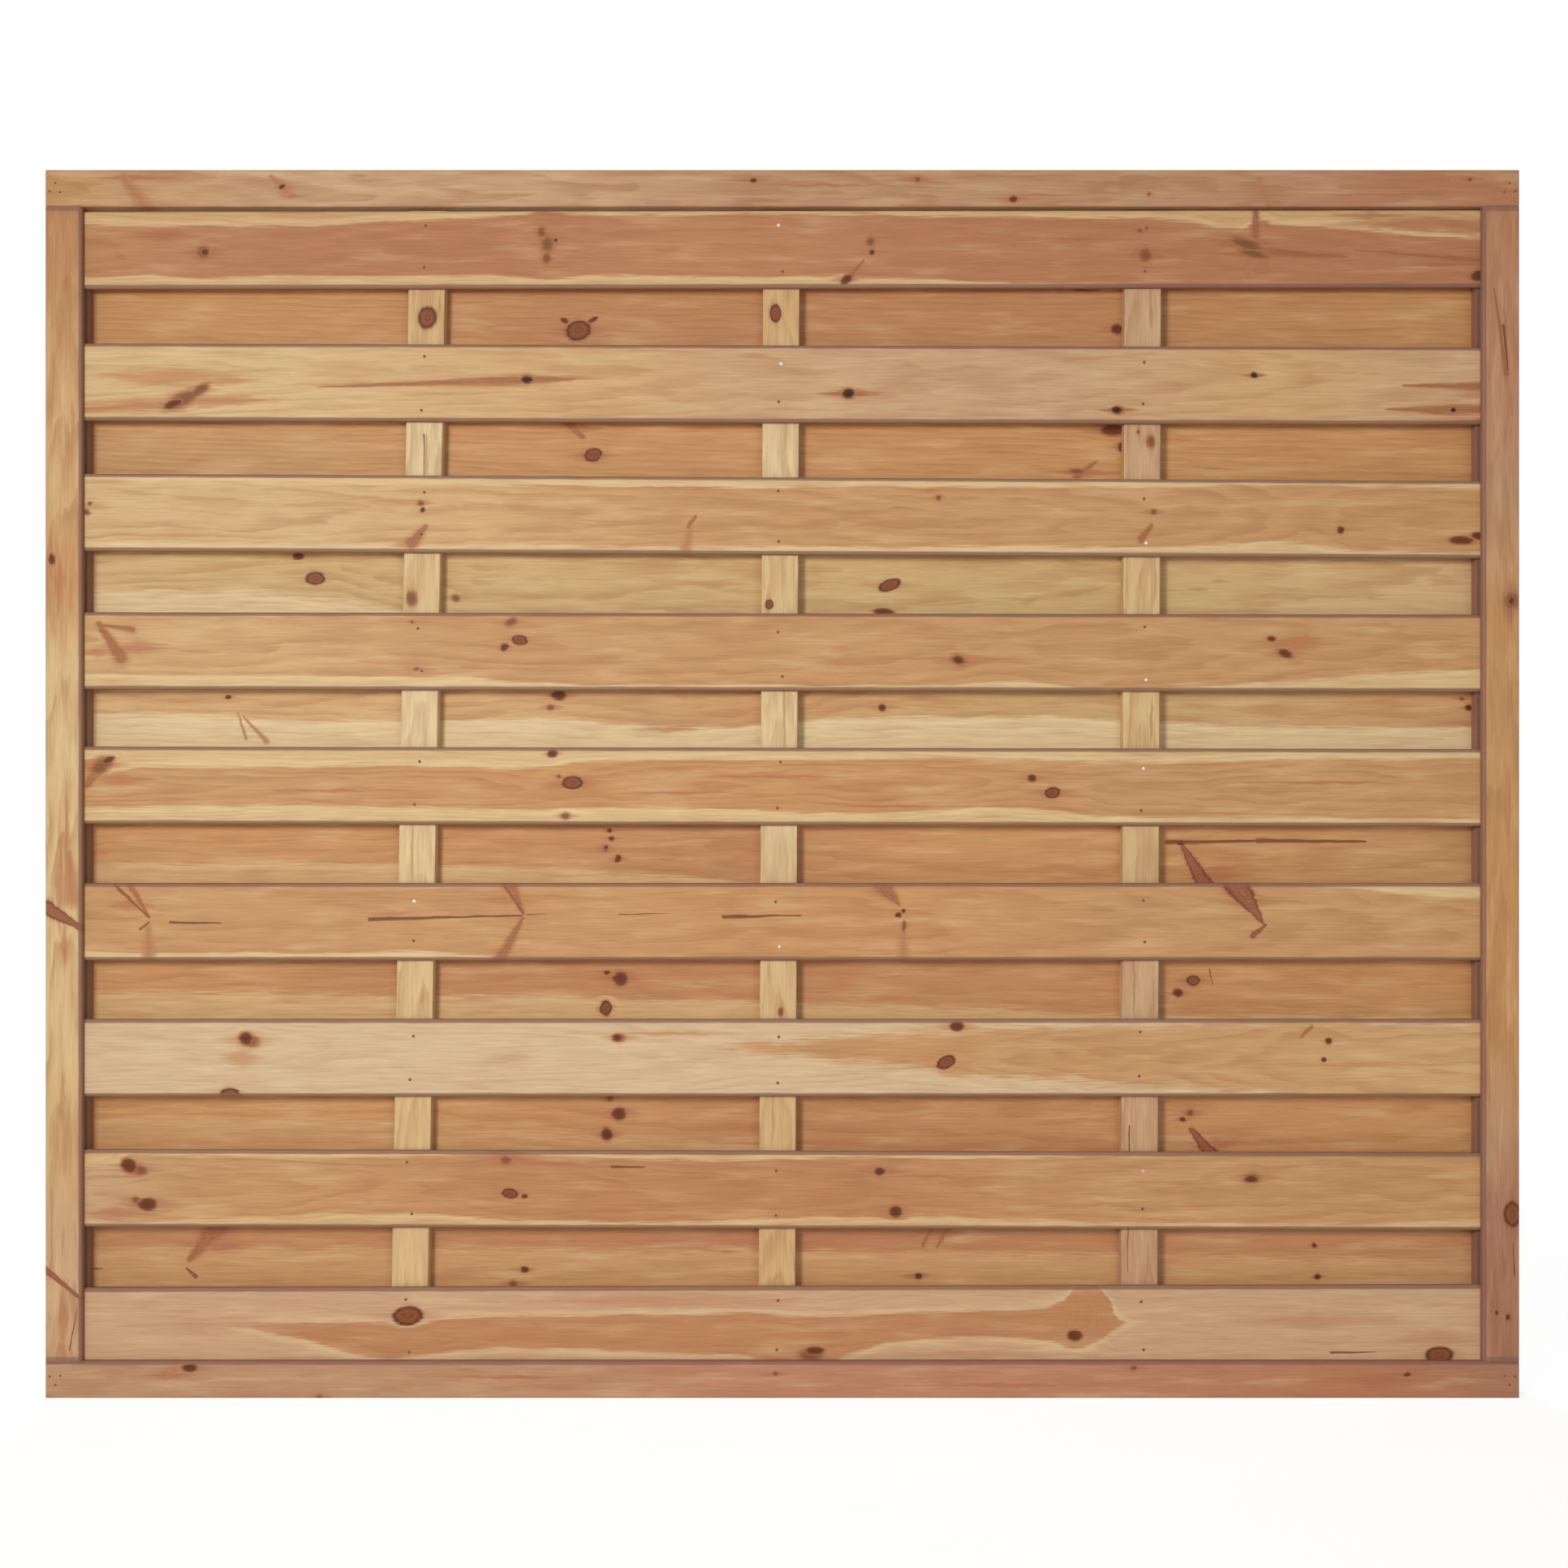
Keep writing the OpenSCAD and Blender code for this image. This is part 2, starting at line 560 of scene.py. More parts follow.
class PineBuilder:
    """Builds one board's material from its wood and its lie."""

    def __init__(self, finish: PineFinish, wood: Wood, lie: Lie, upright: bool, seed: float) -> None:
        """Keeps what the methods share.

        Args:
            finish: The finish of all the boards.
            wood: This board's wood.
            lie: Where the board lies.
            upright: Whether the board stands, so that its own up is to the left of the panel.
            seed: Where in the noise this board is cut from, in millimetres.
        """
        self.finish = finish
        self.wood = wood
        self.lie = lie
        self.upright = upright
        self.side = -1.0 if upright else 1.0
        self.seed = seed
        self.near: dict[str, Signal] = {}
        self.bend: Signal | None = None
        self.outside: Signal | None = None

    def build(self, name: str) -> bpy.types.Material:
        """Makes the material.

        Args:
            name: The material's name.

        Returns:
            The finished material.
        """
        g = self.graph = Graph(bpy.data.materials.new(name))
        finish = self.finish
        self.place = g.add(
            "ShaderNodeMapping",
            {"vector_type": "TEXTURE"},
            {
                "Vector": g.add("ShaderNodeTexCoord", None, None, "Object"),
                "Location": self.lie.origin,
                "Rotation": (0.0, self.lie.turn, 0.0),
                "Scale": (MM, MM, MM),
            },
        )
        self.along, depth, self.up = g.parts(self.place)
        level = depth.times_plus(finish.through, self.up) + self.seed * finish.seed_up
        self.grain = g.add("ShaderNodeCombineXYZ", None, {0: self.along + self.seed, 1: level})
        sway = g.noise(self.grain, finish.sway_size, 2.0)
        fray = g.noise(self.grain, finish.fray_size, 1.0)
        self.sway = g.parts(sway)
        flat = g.vector("MULTIPLY", self.place, (1.0, 0.0, 1.0))
        self.warped = self._moved(self.place, sway, finish.sway_reach)
        self.ragged = self._moved(flat, fray, finish.ragged_reach)
        self.crisp = self._moved(flat, fray, finish.crisp_reach)
        for mark in self.wood.marks:
            self._lay(mark)
        self._lay_rings()
        g.output(self._paint())
        return g.owner

    def _moved(self, place: Signal, noise: Signal, reach: tuple[float, float]) -> Signal:
        """A place moved by a noise that has this reach along the board and up it."""
        along, up = reach
        moved = self.graph.vector("MULTIPLY_ADD", noise, (along, 0.0, up), place)
        return self.graph.vector("SUBTRACT", moved, (along / 2, 0.0, up / 2))

    def _share(self, along: Number) -> Number:
        """Turns a place along the board into its share of the longest board, for a ramp."""
        start = -PANEL_LENGTH / MM / 2 if self.upright else 0.0
        return (along - start) * (MM / PANEL_LENGTH)

    def _keep(self, name: str, near: Signal) -> None:
        """Keeps the smaller of this nearness and what the same kind of mark had before."""
        self.near[name] = self.near[name].least(near) if name in self.near else near

    def _lay(self, mark: Mark) -> None:
        """Works out how near each place is to a mark, from 0 at its middle to 1 at its edge."""
        if isinstance(mark, Knot):
            self._lay_knot(mark)
        elif isinstance(mark, Spike):
            near = self._wedge(mark.tip, mark.root, mark.thin, mark.wide)
            self._keep(mark.cut.name, near)
            self._keep("tail", near * self.finish.halo)
        elif isinstance(mark, Crack):
            thin = mark.width * self.finish.crack_end
            self._keep("crack", self._wedge(mark.start, mark.end, mark.width, thin))
        else:
            self._streak("tail", mark.along, mark.up, mark.length / 2, mark.height / 2)

    def _offset(
        self, place: Signal, along: float, up: float, half_length: float, half_height: float
    ) -> Signal:
        """Where a place lies from a mark's centre, in units of the mark's half sizes."""
        grow = (1 / half_length, 0.0, 1 / half_height)
        centre = (-along * grow[0], 0.0, -self.side * up * grow[2])
        return self.graph.vector("MULTIPLY_ADD", place, grow, centre)

    def _leaning(self, knot: Knot) -> Signal:
        """Where a place lies from a leaning knot's centre, in units of the knot's half sizes."""
        inputs = {
            "Vector": self.crisp,
            "Location": (knot.along, 0.0, self.side * knot.up),
            "Rotation": (0.0, -self.side * math.radians(knot.tilt), 0.0),
            "Scale": (knot.size * knot.longer, 1.0, knot.size),
        }
        return self.graph.add("ShaderNodeMapping", {"vector_type": "TEXTURE"}, inputs)

    def _streak(
        self, kind: str, along: float, up: float, half_length: float, half_height: float
    ) -> None:
        """Keeps the nearness to a streak that is pointed at both ends, as a mark of this kind."""
        offset = self._offset(self.ragged, along, up, half_length, half_height)
        size = self.graph.vector("ABSOLUTE", offset)
        self._keep(kind, self.graph.vector("DOT_PRODUCT", size, (1.0, 0.0, 1.0), output="Value"))

    def _lay_knot(self, knot: Knot) -> None:
        """Works out the nearness to a knot and how the grain bends round it.

        The grain flows round a knot as water flows round a post: a line at height h above the knot's
        centre comes from the height h times one less the knot's radius squared over the distance squared.
        """
        g = self.graph
        half_length = knot.size * knot.longer
        if knot.tilt:
            offset = self._leaning(knot)
        else:
            offset = self._offset(self.crisp, knot.along, knot.up, half_length, knot.size)
        square = g.vector("DOT_PRODUCT", offset, offset, output="Value")
        rise = g.vector("DOT_PRODUCT", offset, (0.0, 0.0, knot.size), output="Value") / square.most(1.0)
        self.bend = rise if self.bend is None else self.bend + rise
        self._keep(knot.growth.name, square.root())
        reach = half_length * knot.tail
        self._streak("tail", knot.along, knot.up, reach, knot.size * self.finish.tail_height)
        if knot.growth is Growth.PIT:
            self._streak(Cut.BROWN.name, knot.along, knot.up, reach, knot.size)

    def _wedge(
        self, start: tuple[float, float], end: tuple[float, float], first: float, last: float
    ) -> Signal:
        """Distance to a line from start to end, over a radius that goes from first to last."""
        g = self.graph
        rise = self.side * (end[1] - start[1])
        run = end[0] - start[0]
        square = run * run + rise * rise
        flat = g.vector("ADD", self.crisp, (-start[0], 0.0, -self.side * start[1]))
        share = g.vector("DOT_PRODUCT", flat, (run / square, 0.0, rise / square), output="Value")
        share = share.most(0.0).least(1.0)
        beside = g.vector("MULTIPLY_ADD", share, (-run, 0.0, -rise), flat)
        return g.vector("LENGTH", beside, output="Value") / share.times_plus(last - first, first)

    def _lay_rings(self) -> None:
        """Works out the heartwood and the growth rings.

        The pith runs along the middle of the heartwood, some way behind the face. A place's ring is its
        distance from the pith over the ring's width, and the rings close up where the heart narrows.
        """
        g = self.graph
        finish = self.finish
        rings = self.wood.rings
        along, depth, up = g.parts(self.warped)
        if self.bend is not None:
            up = up - self.bend
        reach = finish.band_reach
        if self.wood.hearts:
            stops = []
            for heart in self.wood.hearts:
                low, high = (-heart.head, -heart.foot) if self.upright else (heart.foot, heart.head)
                color = ((low + reach) / (2 * reach), (high + reach) / (2 * reach), 0.0, 1.0)
                stops.append((self._share(heart.along), color))
            low, high, _ = g.parts(g.ramp(self._share(along), stops, "CARDINAL"))
            middle = (low + high).times_plus(reach, -reach)
            half = (high - low) * reach
            offset = up - middle
            self.outside = abs(offset) - half + self.sway[0].about(0.0, finish.heart_wobble)
            close = finish.least_half * finish.crowding / half.most(finish.least_half)
        else:
            offset = up - self.side * rings.pith_up
            close = 1.0
        back = depth.times_plus(-1.0, rings.pith_depth) + along * rings.slope
        back = back + self.sway[1].about(0.0, finish.pith_wobble)
        radius = (offset * offset + back * back).root()
        self.clouds = g.parts(g.noise(self.grain, finish.cloud_size, 3.0))
        count = radius * (close * (1 / rings.width)) + self.clouds[1] * finish.ring_wobble
        if Growth.RINGED.name in self.near:
            ringed = self.near[Growth.RINGED.name]
            inputs = {0: ringed.rise(*finish.knot_rise), 2: count, 3: ringed * finish.knot_rings}
            count = g.add("ShaderNodeMix", {"data_type": "FLOAT"}, inputs)
        stops = [(place, (level, level, level, 1.0)) for place, level in finish.ring_profile]
        self.late = g.ramp(count.fraction(), stops, "LINEAR")

    def _ramp(self, at: Signal, stops: tuple[tuple[float, str], ...]) -> Signal:
        """Reads a ramp of colours written as they look."""
        return self.graph.ramp(at, [(place, linear(tone)) for place, tone in stops], "LINEAR")

    def _paint(self) -> Signal:
        """Colours the wood and gives it its relief and sheen.

        Returns:
            The finished surface.
        """
        g = self.graph
        finish = self.finish
        near = self.near
        stops = [(self._share(place), linear(tone.value)) for place, tone in self.wood.tones]
        color = g.ramp(self._share(self.along), stops, "LINEAR")
        fibres = g.parts(g.noise(self.grain, finish.fibre_size, 3.0))
        late = self.late * self.clouds[2].rise(*finish.late_rise) * self.wood.rings.strength
        if self.outside is not None:
            blur = self.wood.blur
            outside = self.outside + fibres[1].about(0.0, 2 * blur)
            heart = outside.rise(blur, -blur)
            rim = outside.rise(*finish.rim_rise) * outside.rise(*finish.rim_fall)
            color = g.mix(heart, linear(self.wood.sap.value), color)
            color = g.mix(rim * (finish.rim_share / blur), color, linear(finish.pale))
            late = late * heart.times_plus(1 - finish.sap_late, finish.sap_late)
        stained, paler = (self.clouds[part].rise(*finish.cloud_rise) for part in (0, 2))
        color = g.mix(stained * finish.stain_share, color, linear(self.wood.stain))
        color = g.mix(paler * finish.pale_share, color, linear(finish.pale))
        color = g.mix(late, color, linear(finish.late_wood))
        if "tail" in near:
            brushed = near["tail"] + fibres[2].about(0.0, finish.tail_shake)
            tail = brushed.rise(*finish.tail_rise)
            color = g.mix(tail * finish.tail_share, color, linear(self.wood.stain))
        for kind, brush in BRUSHES.items():
            if kind in near:
                brushed = near[kind] + fibres[2].about(0.0, brush.fray / 2)
                branch = self._ramp(brushed, brush.colors)
                if kind == Growth.RINGED.name:
                    dark_rim = brush.colors[-2][1]
                    branch = g.mix(self.late * finish.knot_late, branch, linear(dark_rim))
                color = g.mix(brushed.rise(brush.none, brush.full) * brush.strength, color, branch)
        color = g.mix(1.0, color, self._grey(fibres[0].about(1.0, finish.fibre_depth)), "MULTIPLY")
        # shade painted along the eased edges of the face
        color = g.mix(self._painted_edge_shade_mask(fibres[2]) * finish.edge_shade_share, color, linear(finish.edge))
        if self.wood.shoulder:
            shoulder = self._shoulder_mask(fibres[1]) * finish.shoulder_share
            color = g.mix(shoulder, color, linear(finish.edge))
        color = g.mix(self._end_mask() * finish.end_share, color, linear(finish.end_grain))
        inputs = {"Strength": finish.relief_strength, "Distance": finish.relief, "Height": fibres[0]}
        bump = g.add("ShaderNodeBump", None, inputs)
        inputs = {
            "Base Color": color,
            "Roughness": fibres[1].about(finish.roughness, finish.roughness_spread),
            "Normal": bump,
            "Specular IOR Level": finish.specular,
        }
        return g.add("ShaderNodeBsdfPrincipled", None, inputs)

    def _grey(self, level: Signal) -> Signal:
        """A grey colour of this level."""
        return self.graph.add("ShaderNodeCombineColor", None, {0: level, 1: level, 2: level})

    def _painted_edge_shade_mask(self, fibre: Signal) -> Signal:
        """One where shade is painted along the eased edges of the face, with a slightly ragged inner
        side.
        """
        up = self.up * self.side
        ragged = fibre.about(0.0, self.finish.edge_shade_shake)
        low, high = (self.lie.half / MM - edge for edge in self.wood.edges)
        blur = self.finish.edge_shade_blur
        return (ragged - up).rise(low, low + blur).most((ragged + up).rise(high, high + blur))

    def _shoulder_mask(self, fibre: Signal) -> Signal:
        """One along the board's shoulders, where it meets the boards across its ends."""
        reach = abs(self.along) + fibre.about(0.0, self.finish.shoulder_shake)
        none, full = (self.wood.shoulder - before for before in self.finish.shoulder_rise)
        return reach.rise(none, full)

    def _end_mask(self) -> Signal:
        """One on the sawn ends of the board, from the surface's own direction."""
        g = self.graph
        normal = g.add("ShaderNodeTexCoord", None, None, "Normal")
        turn = self.lie.turn
        facing = g.vector("DOT_PRODUCT", normal, (math.cos(turn), 0.0, -math.sin(turn)), output="Value")
        return abs(facing).rise(*self.finish.end_rise)


FAINT, RINGED, BLACK, PIT = Growth
(
    STRAW, CREAM, WHEAT, OAT, SAND, BUFF, HONEY, FAWN, TAN, AMBER, DRAB, CHESTNUT, CLAY, RUSSET, COCOA,
) = Tone
PALE, DARK = Cut.PALE, Cut.DARK

WOODS: dict[str, Wood] = {
    "top_rail": Wood(
        tones=(
            (0, TAN), (250, FAWN), (600, FAWN), (850, DRAB), (1350, DRAB), (1600, CLAY), (1800, RUSSET),
        ),
        rings=Rings(6.0, -8.0, 60.0, 0.03, 0.5),
        stain="#a86745",
        edges=(1.2, 0.8),
        marks=(
            Spike((96, 12), (124, -26), 4, 8, PALE), Stain(112, 12, 120, 8),
            Spike((276, 14), (296, -3), 2, 6, PALE), Knot(290, 1, 2.5, BLACK, 1.8, 3, 30),
            Stain(300, -10, 40, 10), Knot(865, 9, 3, BLACK, 1.4, 8), Stain(960, 3, 190, 5),
            Knot(1065, 10, 4, FAINT, tail=5), Knot(1182, -14, 4, BLACK, 1.4, 7), Stain(1225, -9, 90, 4),
            Knot(1347, -8, 2, FAINT), Spike((1482, 12), (1494, -24), 2, 4, PALE),
            Stain(1500, -18, 50, 7), Knot(1739, 10, 3, FAINT, tail=8), Stain(1700, 0, 190, 9),
            Spike((1580, 0), (1765, 2), 2, 6, PALE), Stain(1640, -8, 160, 6),
        ),
    ),
    "bottom_rail": Wood(
        tones=((0, DRAB), (500, DRAB), (900, CLAY), (1300, CLAY), (1600, RUSSET), (1800, COCOA)),
        rings=Rings(6.5, 6.0, 55.0, 0.02, 0.25),
        stain="#a8684a",
        edges=(0.8, 4.6),
        marks=(
            Knot(177, 15, 5, BLACK, 2.0, 4), Spike((147, 2), (160, 14), 2, 5, PALE),
            Stain(150, 6, 90, 12), Knot(335, -21, 4, FAINT), Knot(892, 8, 3, FAINT, 1.4, 6),
            Knot(1329, 15, 4, FAINT, 1.4, 5), Knot(1662, 7, 3, BLACK, 1.5, 6), Stain(1620, 0, 140, 14),
            Stain(560, 4, 240, 8), Stain(1180, -6, 260, 8),
        ),
    ),
    "left_stile": Wood(
        tones=(
            (-750, DRAB), (-620, FAWN), (-540, FAWN), (-440, HONEY), (-340, WHEAT), (150, WHEAT),
            (250, AMBER), (350, HONEY), (450, HONEY), (570, TAN), (640, CHESTNUT), (700, CHESTNUT),
        ),
        rings=Rings(5.0, 4.0, 45.0, 0.03, 0.5),
        edges=(0.8, 5.0),
        shoulder=705.0,
        marks=(
            Knot(274, -14, 4, BLACK, 1.8, 5), Stain(250, -5, 110, 16),
            Spike((-176, 22), (-150, -22), 3, 9, DARK), Stain(-120, -4, 150, 18),
            Spike((-84, 6), (-138, 10), 3, 11, PALE), Stain(-195, 2, 90, 14), Stain(-60, 4, 200, 10),
            Spike((-628, 22), (-592, -22), 1.5, 3.5, DARK), Crack((-690, 8), (-640, 17), 0.8),
            Stain(-650, 0, 140, 16),
        ),
    ),
    "right_stile": Wood(
        tones=(
            (-750, COCOA), (-520, COCOA), (-430, DRAB), (-300, AMBER), (-100, AMBER), (80, TAN),
            (200, AMBER), (350, DRAB), (500, CLAY), (620, CLAY), (750, RUSSET),
        ),
        rings=Rings(6.0, -5.0, 50.0, 0.02, 0.4),
        stain="#966546",
        edges=(5.0, 0.8),
        shoulder=705.0,
        marks=(
            Stain(540, 4, 150, 6), Spike((604, -9), (500, 6), 1, 3.2), Crack((560, 2), (505, 8), 1.5),
            Knot(224, 12, 10.5, FAINT, 1.2, 3), Knot(224, 12, 4, BLACK, 1.3, 2),
            Knot(-525, 13, 10, RINGED, 1.6, 2.5), Knot(-645, -6, 2.5, BLACK), Knot(-650, 8, 3, BLACK),
            Crack((-600, 16), (-560, 14), 0.8), Stain(-640, -8, 160, 16), Stain(-700, 6, 90, 20),
            Stain(-590, 2, 60, 12),
        ),
    ),
    "left_batten": Wood(
        tones=(
            (-700, WHEAT), (-300, WHEAT), (0, STRAW), (160, STRAW), (243, WHEAT), (340, STRAW),
            (460, STRAW), (574, HONEY), (700, WHEAT),
        ),
        rings=Rings(4.5, 3.0, 70.0, 0.03, 0.35),
        stain="#b08a55",
        edges=(0.5, 0.5),
        marks=(
            Knot(574, 2, 11, RINGED, 1.3, 2, 12), Stain(600, -16, 50, 8), Stain(590, 16, 40, 5),
            Knot(228, -12, 7.5, FAINT, 1.5, 2.5), Stain(-262, 10, 60, 5),
            Crack((430, 0), (360, 1), 0.8), Stain(395, 3, 90, 5), Stain(-90, -6, 120, 6),
        ),
    ),
    "middle_batten": Wood(
        tones=(
            (-700, HONEY), (-300, OAT), (0, STRAW), (230, WHEAT), (400, STRAW), (500, WHEAT),
            (579, HONEY), (700, WHEAT),
        ),
        rings=Rings(4.0, -3.0, 60.0, 0.03, 0.35),
        stain="#b08a55",
        edges=(0.5, 0.5),
        marks=(
            Knot(579, -7, 7, RINGED, 1.6, 2.5), Knot(221, -13, 5, RINGED, 1.2, 3),
            Knot(-280, 3, 4, FAINT, 1.6, 3), Stain(600, 8, 50, 7), Stain(90, 6, 120, 5),
            Stain(-410, -6, 100, 6),
        ),
    ),
    "right_batten": Wood(
        tones=(
            (-700, DRAB), (-400, FAWN), (-230, FAWN), (-60, OAT), (90, WHEAT), (240, WHEAT),
            (400, FAWN), (700, FAWN),
        ),
        rings=Rings(4.0, 5.0, 60.0, 0.02, 0.4),
        stain="#a5794c",
        edges=(0.5, 0.5),
        marks=(
            Knot(421, 10, 6, FAINT, 1.5, 2.5), Knot(433, -5, 2.5, FAINT),
            Crack((-420, -13), (-600, -15), 0.8), Stain(580, 10, 80, 6), Stain(-250, -8, 110, 6),
            Stain(80, 12, 90, 5),
        ),
    ),
    "front_slat_1": Wood(
        tones=(
            (40, CHESTNUT), (350, RUSSET), (600, RUSSET), (800, CHESTNUT), (1100, RUSSET),
            (1770, RUSSET),
        ),
        sap=HONEY,
        hearts=(
            Heart(40, -34, 32), Heart(260, -33, 27), Heart(440, -32, 34), Heart(620, -31, 40),
            Heart(1000, -36, 41), Heart(1300, -42, 38), Heart(1400, -50, 27), Heart(1462, -55, 16),
            Heart(1482, -55, 30), Heart(1502, -55, 25), Heart(1560, -55, 23), Heart(1640, -55, 16),
            Heart(1770, -55, 9),
        ),
        rings=Rings(6.5, 0.0, 30.0, 0.012, 0.4),
        stain="#a0603f",
        edges=(5.6, 1.0),
        marks=(
            Knot(190, -3, 9, FAINT, 1.1, 3), Knot(193, -3, 4.5, BLACK, 1.1, 2), Stain(150, 16, 110, 22),
            Knot(605, 21, 7.5, FAINT, 0.8, 2), Knot(612, 7, 11.5, FAINT, 0.8, 2),
            Knot(622, 11, 2.5, BLACK, 1.0, 2), Knot(611, -11, 8.5, FAINT, 0.7, 2),
            Knot(1008, 9, 7.5, FAINT, 0.9, 2), Knot(1010, -4, 3.5, BLACK, 1.0, 2),
            Knot(978, -37, 5, BLACK, 1.6, 3, 35), Spike((1000, -14), (984, -32), 1, 3),
            Knot(1345, -8, 10, FAINT, 1.0, 2.5), Knot(1338, 22, 3, FAINT, 1.5, 3),
            Spike((1480, 50), (1480, 16), 3, 5), Knot(1468, 6, 8, FAINT, 3.2, 2, -16),
            Knot(1477, -6, 5.5, FAINT, 4.4, 2, -12), Stain(1540, -8, 190, 14),
            Spike((1592, -10.5), (1480, -3), 1, 7), Knot(1752, -34, 7, BLACK, 1.2, 3),
            Stain(1720, 28, 170, 18), Stain(1700, -20, 150, 8), Stain(1260, 12, 90, 5),
            Stain(1690, 30, 300, 26), Stain(1620, 40, 150, 12), Stain(1745, 22, 110, 18),
            Stain(1750, -14, 160, 20), Spike((1600, -2), (1775, -16), 0.6, 3.5),
        ),
    ),
    "front_slat_2": Wood(
        tones=(
            (40, WHEAT), (300, WHEAT), (600, HONEY), (950, FAWN), (1250, FAWN), (1500, HONEY),
            (1770, FAWN),
        ),
        rings=Rings(7.0, 12.0, 26.0, 0.03, 0.3),
        stain="#b5794f",
        marks=(
            Knot(165, -22, 10.5, FAINT, 2.5, 2, 25), Knot(154, -27, 5, BLACK, 2.4, 2, 22),
            Knot(186, -10, 6.5, FAINT, 2.4, 2, 32), Spike((46, -34), (140, -28), 4, 7, PALE),
            Spike((266, -22), (186, -24), 1, 6, PALE), Stain(110, -28, 220, 22),
            Stain(230, -22, 160, 16), Stain(150, 6, 240, 34), Stain(215, 2, 110, 20),
            Knot(587, 4, 7, FAINT, 1.3, 4), Knot(587, 4, 5, PIT, 1.5, 8), Stain(450, -3, 420, 8),
            Spike((330, -6), (580, 3.5), 0.5, 6), Spike((648, 5), (594, 4), 0.6, 5),
            Stain(640, 6, 120, 9), Knot(981, -12, 7, FAINT, 1.4, 4), Knot(981, -12, 5.5, PIT, 1.4, 6),
            Knot(1312, -31, 6, FAINT, 1.5, 3), Knot(1310, -31, 4.5, PIT, 1.5, 4.5),
            Knot(1478, 12, 3.6, PIT, 1.3, 5), Stain(1725, 1, 150, 8),
            Spike((1661, 0), (1778, -2), 1.2, 6), Spike((1639, -29.4), (1722, -30), 1, 7),
            Spike((1778, -28), (1722, -30), 4, 7), Spike((1690, -47), (1778, -44), 1.5, 6),
            Stain(1750, -12, 80, 10), Stain(1730, -27, 150, 14), Stain(1725, -44, 120, 18),
            Knot(1722, -30, 2.5, PIT, 1.3, 2),
        ),
    ),
    "front_slat_3": Wood(
        tones=((40, OAT), (300, OAT), (520, HONEY), (760, TAN), (1770, TAN)),
        sap=WHEAT,
        hearts=(
            Heart(40, -36, 37), Heart(700, -38, 35), Heart(1150, -36, 38), Heart(1400, -35, 37),
            Heart(1530, -28, 38), Heart(1600, -37, 36), Heart(1770, -36, 38),
        ),
        rings=Rings(5.5, 0.0, 40.0, 0.02, 0.4),
        marks=(
            Knot(48, 0, 4, FAINT, 1.0, 2), Knot(51, 10, 3, FAINT, 1.0, 2), Knot(457, 13, 3.5, FAINT),
            Knot(459, 5, 3, BLACK, 1.0, 2), Spike((463, -16), (446, -36), 3, 8),
            Stain(440, -38, 60, 12), Spike((793, -2), (785, -14), 2, 2.5),
            Spike((787, -18), (782, -40), 2.5, 6, PALE), Knot(1091, 23, 4, FAINT, 1.0, 3),
            Stain(1080, 32, 40, 8), Knot(1355, 7, 3.5, FAINT), Spike((1352, -10), (1340, -26), 2.5, 5),
            Knot(1584, -14, 4, BLACK, 1.1, 3), Knot(1732, -26, 5, BLACK, 3.0, 2.5),
            Knot(1752, -20, 5, BLACK, 1.6, 3), Stain(1735, -28, 90, 14), Stain(780, 34, 160, 5),
        ),
    ),
    "front_slat_4": Wood(
        tones=((40, HONEY), (300, HONEY), (450, TAN), (1300, TAN), (1770, TAN)),
        sap=WHEAT,
        hearts=(
            Heart(40, -27, 70), Heart(350, -30, 70), Heart(600, -36, 70), Heart(1000, -42, 70),
            Heart(1160, -36, 70), Heart(1300, -45, 70), Heart(1480, -32, 70), Heart(1770, -20, 70),
        ),
        rings=Rings(5.5, 0.0, 44.0, 0.01, 0.4),
        marks=(
            Spike((62, 33), (90, -8), 3, 9), Spike((66, 31), (104, 26), 1.5, 4), Stain(110, 4, 120, 24),
            Stain(60, -2, 60, 14), Knot(578, 14, 6, RINGED, 1.7, 3, -8),
            Knot(567, 36, 6, FAINT, 1.5, 3, 20), Knot(559, 5, 4.5, BLACK, 1.3, 3, 40),
            Knot(446, 36, 2, FAINT), Knot(452, -22, 2.5, FAINT, 2.0, 6),
            Knot(1116, -10, 8, FAINT, 1.6, 4, -18), Knot(1116, -10, 5, BLACK, 1.5, 3, -18),
            Stain(1110, -8, 240, 7), Knot(1516, -1, 6.5, FAINT, 2.0, 3, -22),
            Knot(1516, -1, 4.5, BLACK, 2.0, 3, -22), Knot(1499, 17, 3.5, BLACK, 1.6, 3),
            Stain(1530, 12, 140, 26),
        ),
    ),
    "front_slat_5": Wood(
        tones=((40, TAN), (350, TAN), (560, AMBER), (1000, AMBER), (1300, TAN), (1770, TAN)),
        sap=WHEAT,
        hearts=(
            Heart(40, -25, 24), Heart(500, -24, 23), Heart(600, -27, 24), Heart(700, -25, 30),
            Heart(1000, -30, 34), Heart(1200, -26, 34), Heart(1300, -34, 30), Heart(1500, -38, 32),
            Heart(1770, -38, 36),
        ),
        rings=Rings(5.0, 0.0, 24.0, 0.01, 0.42),
        stain="#ab6a45",
        marks=(
            Spike((48, 0), (64, 22), 4, 7), Knot(66, 24, 10, FAINT, 1.7, 2.5, 32),
            Knot(74, 31, 3.5, BLACK, 2.4, 2, 22), Stain(90, 8, 110, 20), Knot(626, 12, 2.5, FAINT),
            Knot(618, 40, 5, BLACK, 1.3, 2.5), Knot(643, 4, 8, RINGED, 1.6, 4),
            Knot(634, -37, 5, FAINT, 1.4, 3), Knot(1206, 11, 4.5, BLACK, 1.2, 5, -15),
            Knot(1231, -7, 6.5, RINGED, 1.5, 4, 8), Stain(900, 12, 240, 6), Stain(1050, -24, 260, 6),
            Stain(780, -8, 220, 5), Stain(350, -6, 260, 6), Stain(1560, 6, 300, 6),
        ),
    ),
    "front_slat_6": Wood(
        tones=((40, TAN), (500, TAN), (1000, AMBER), (1300, TAN), (1770, TAN)),
        sap=WHEAT,
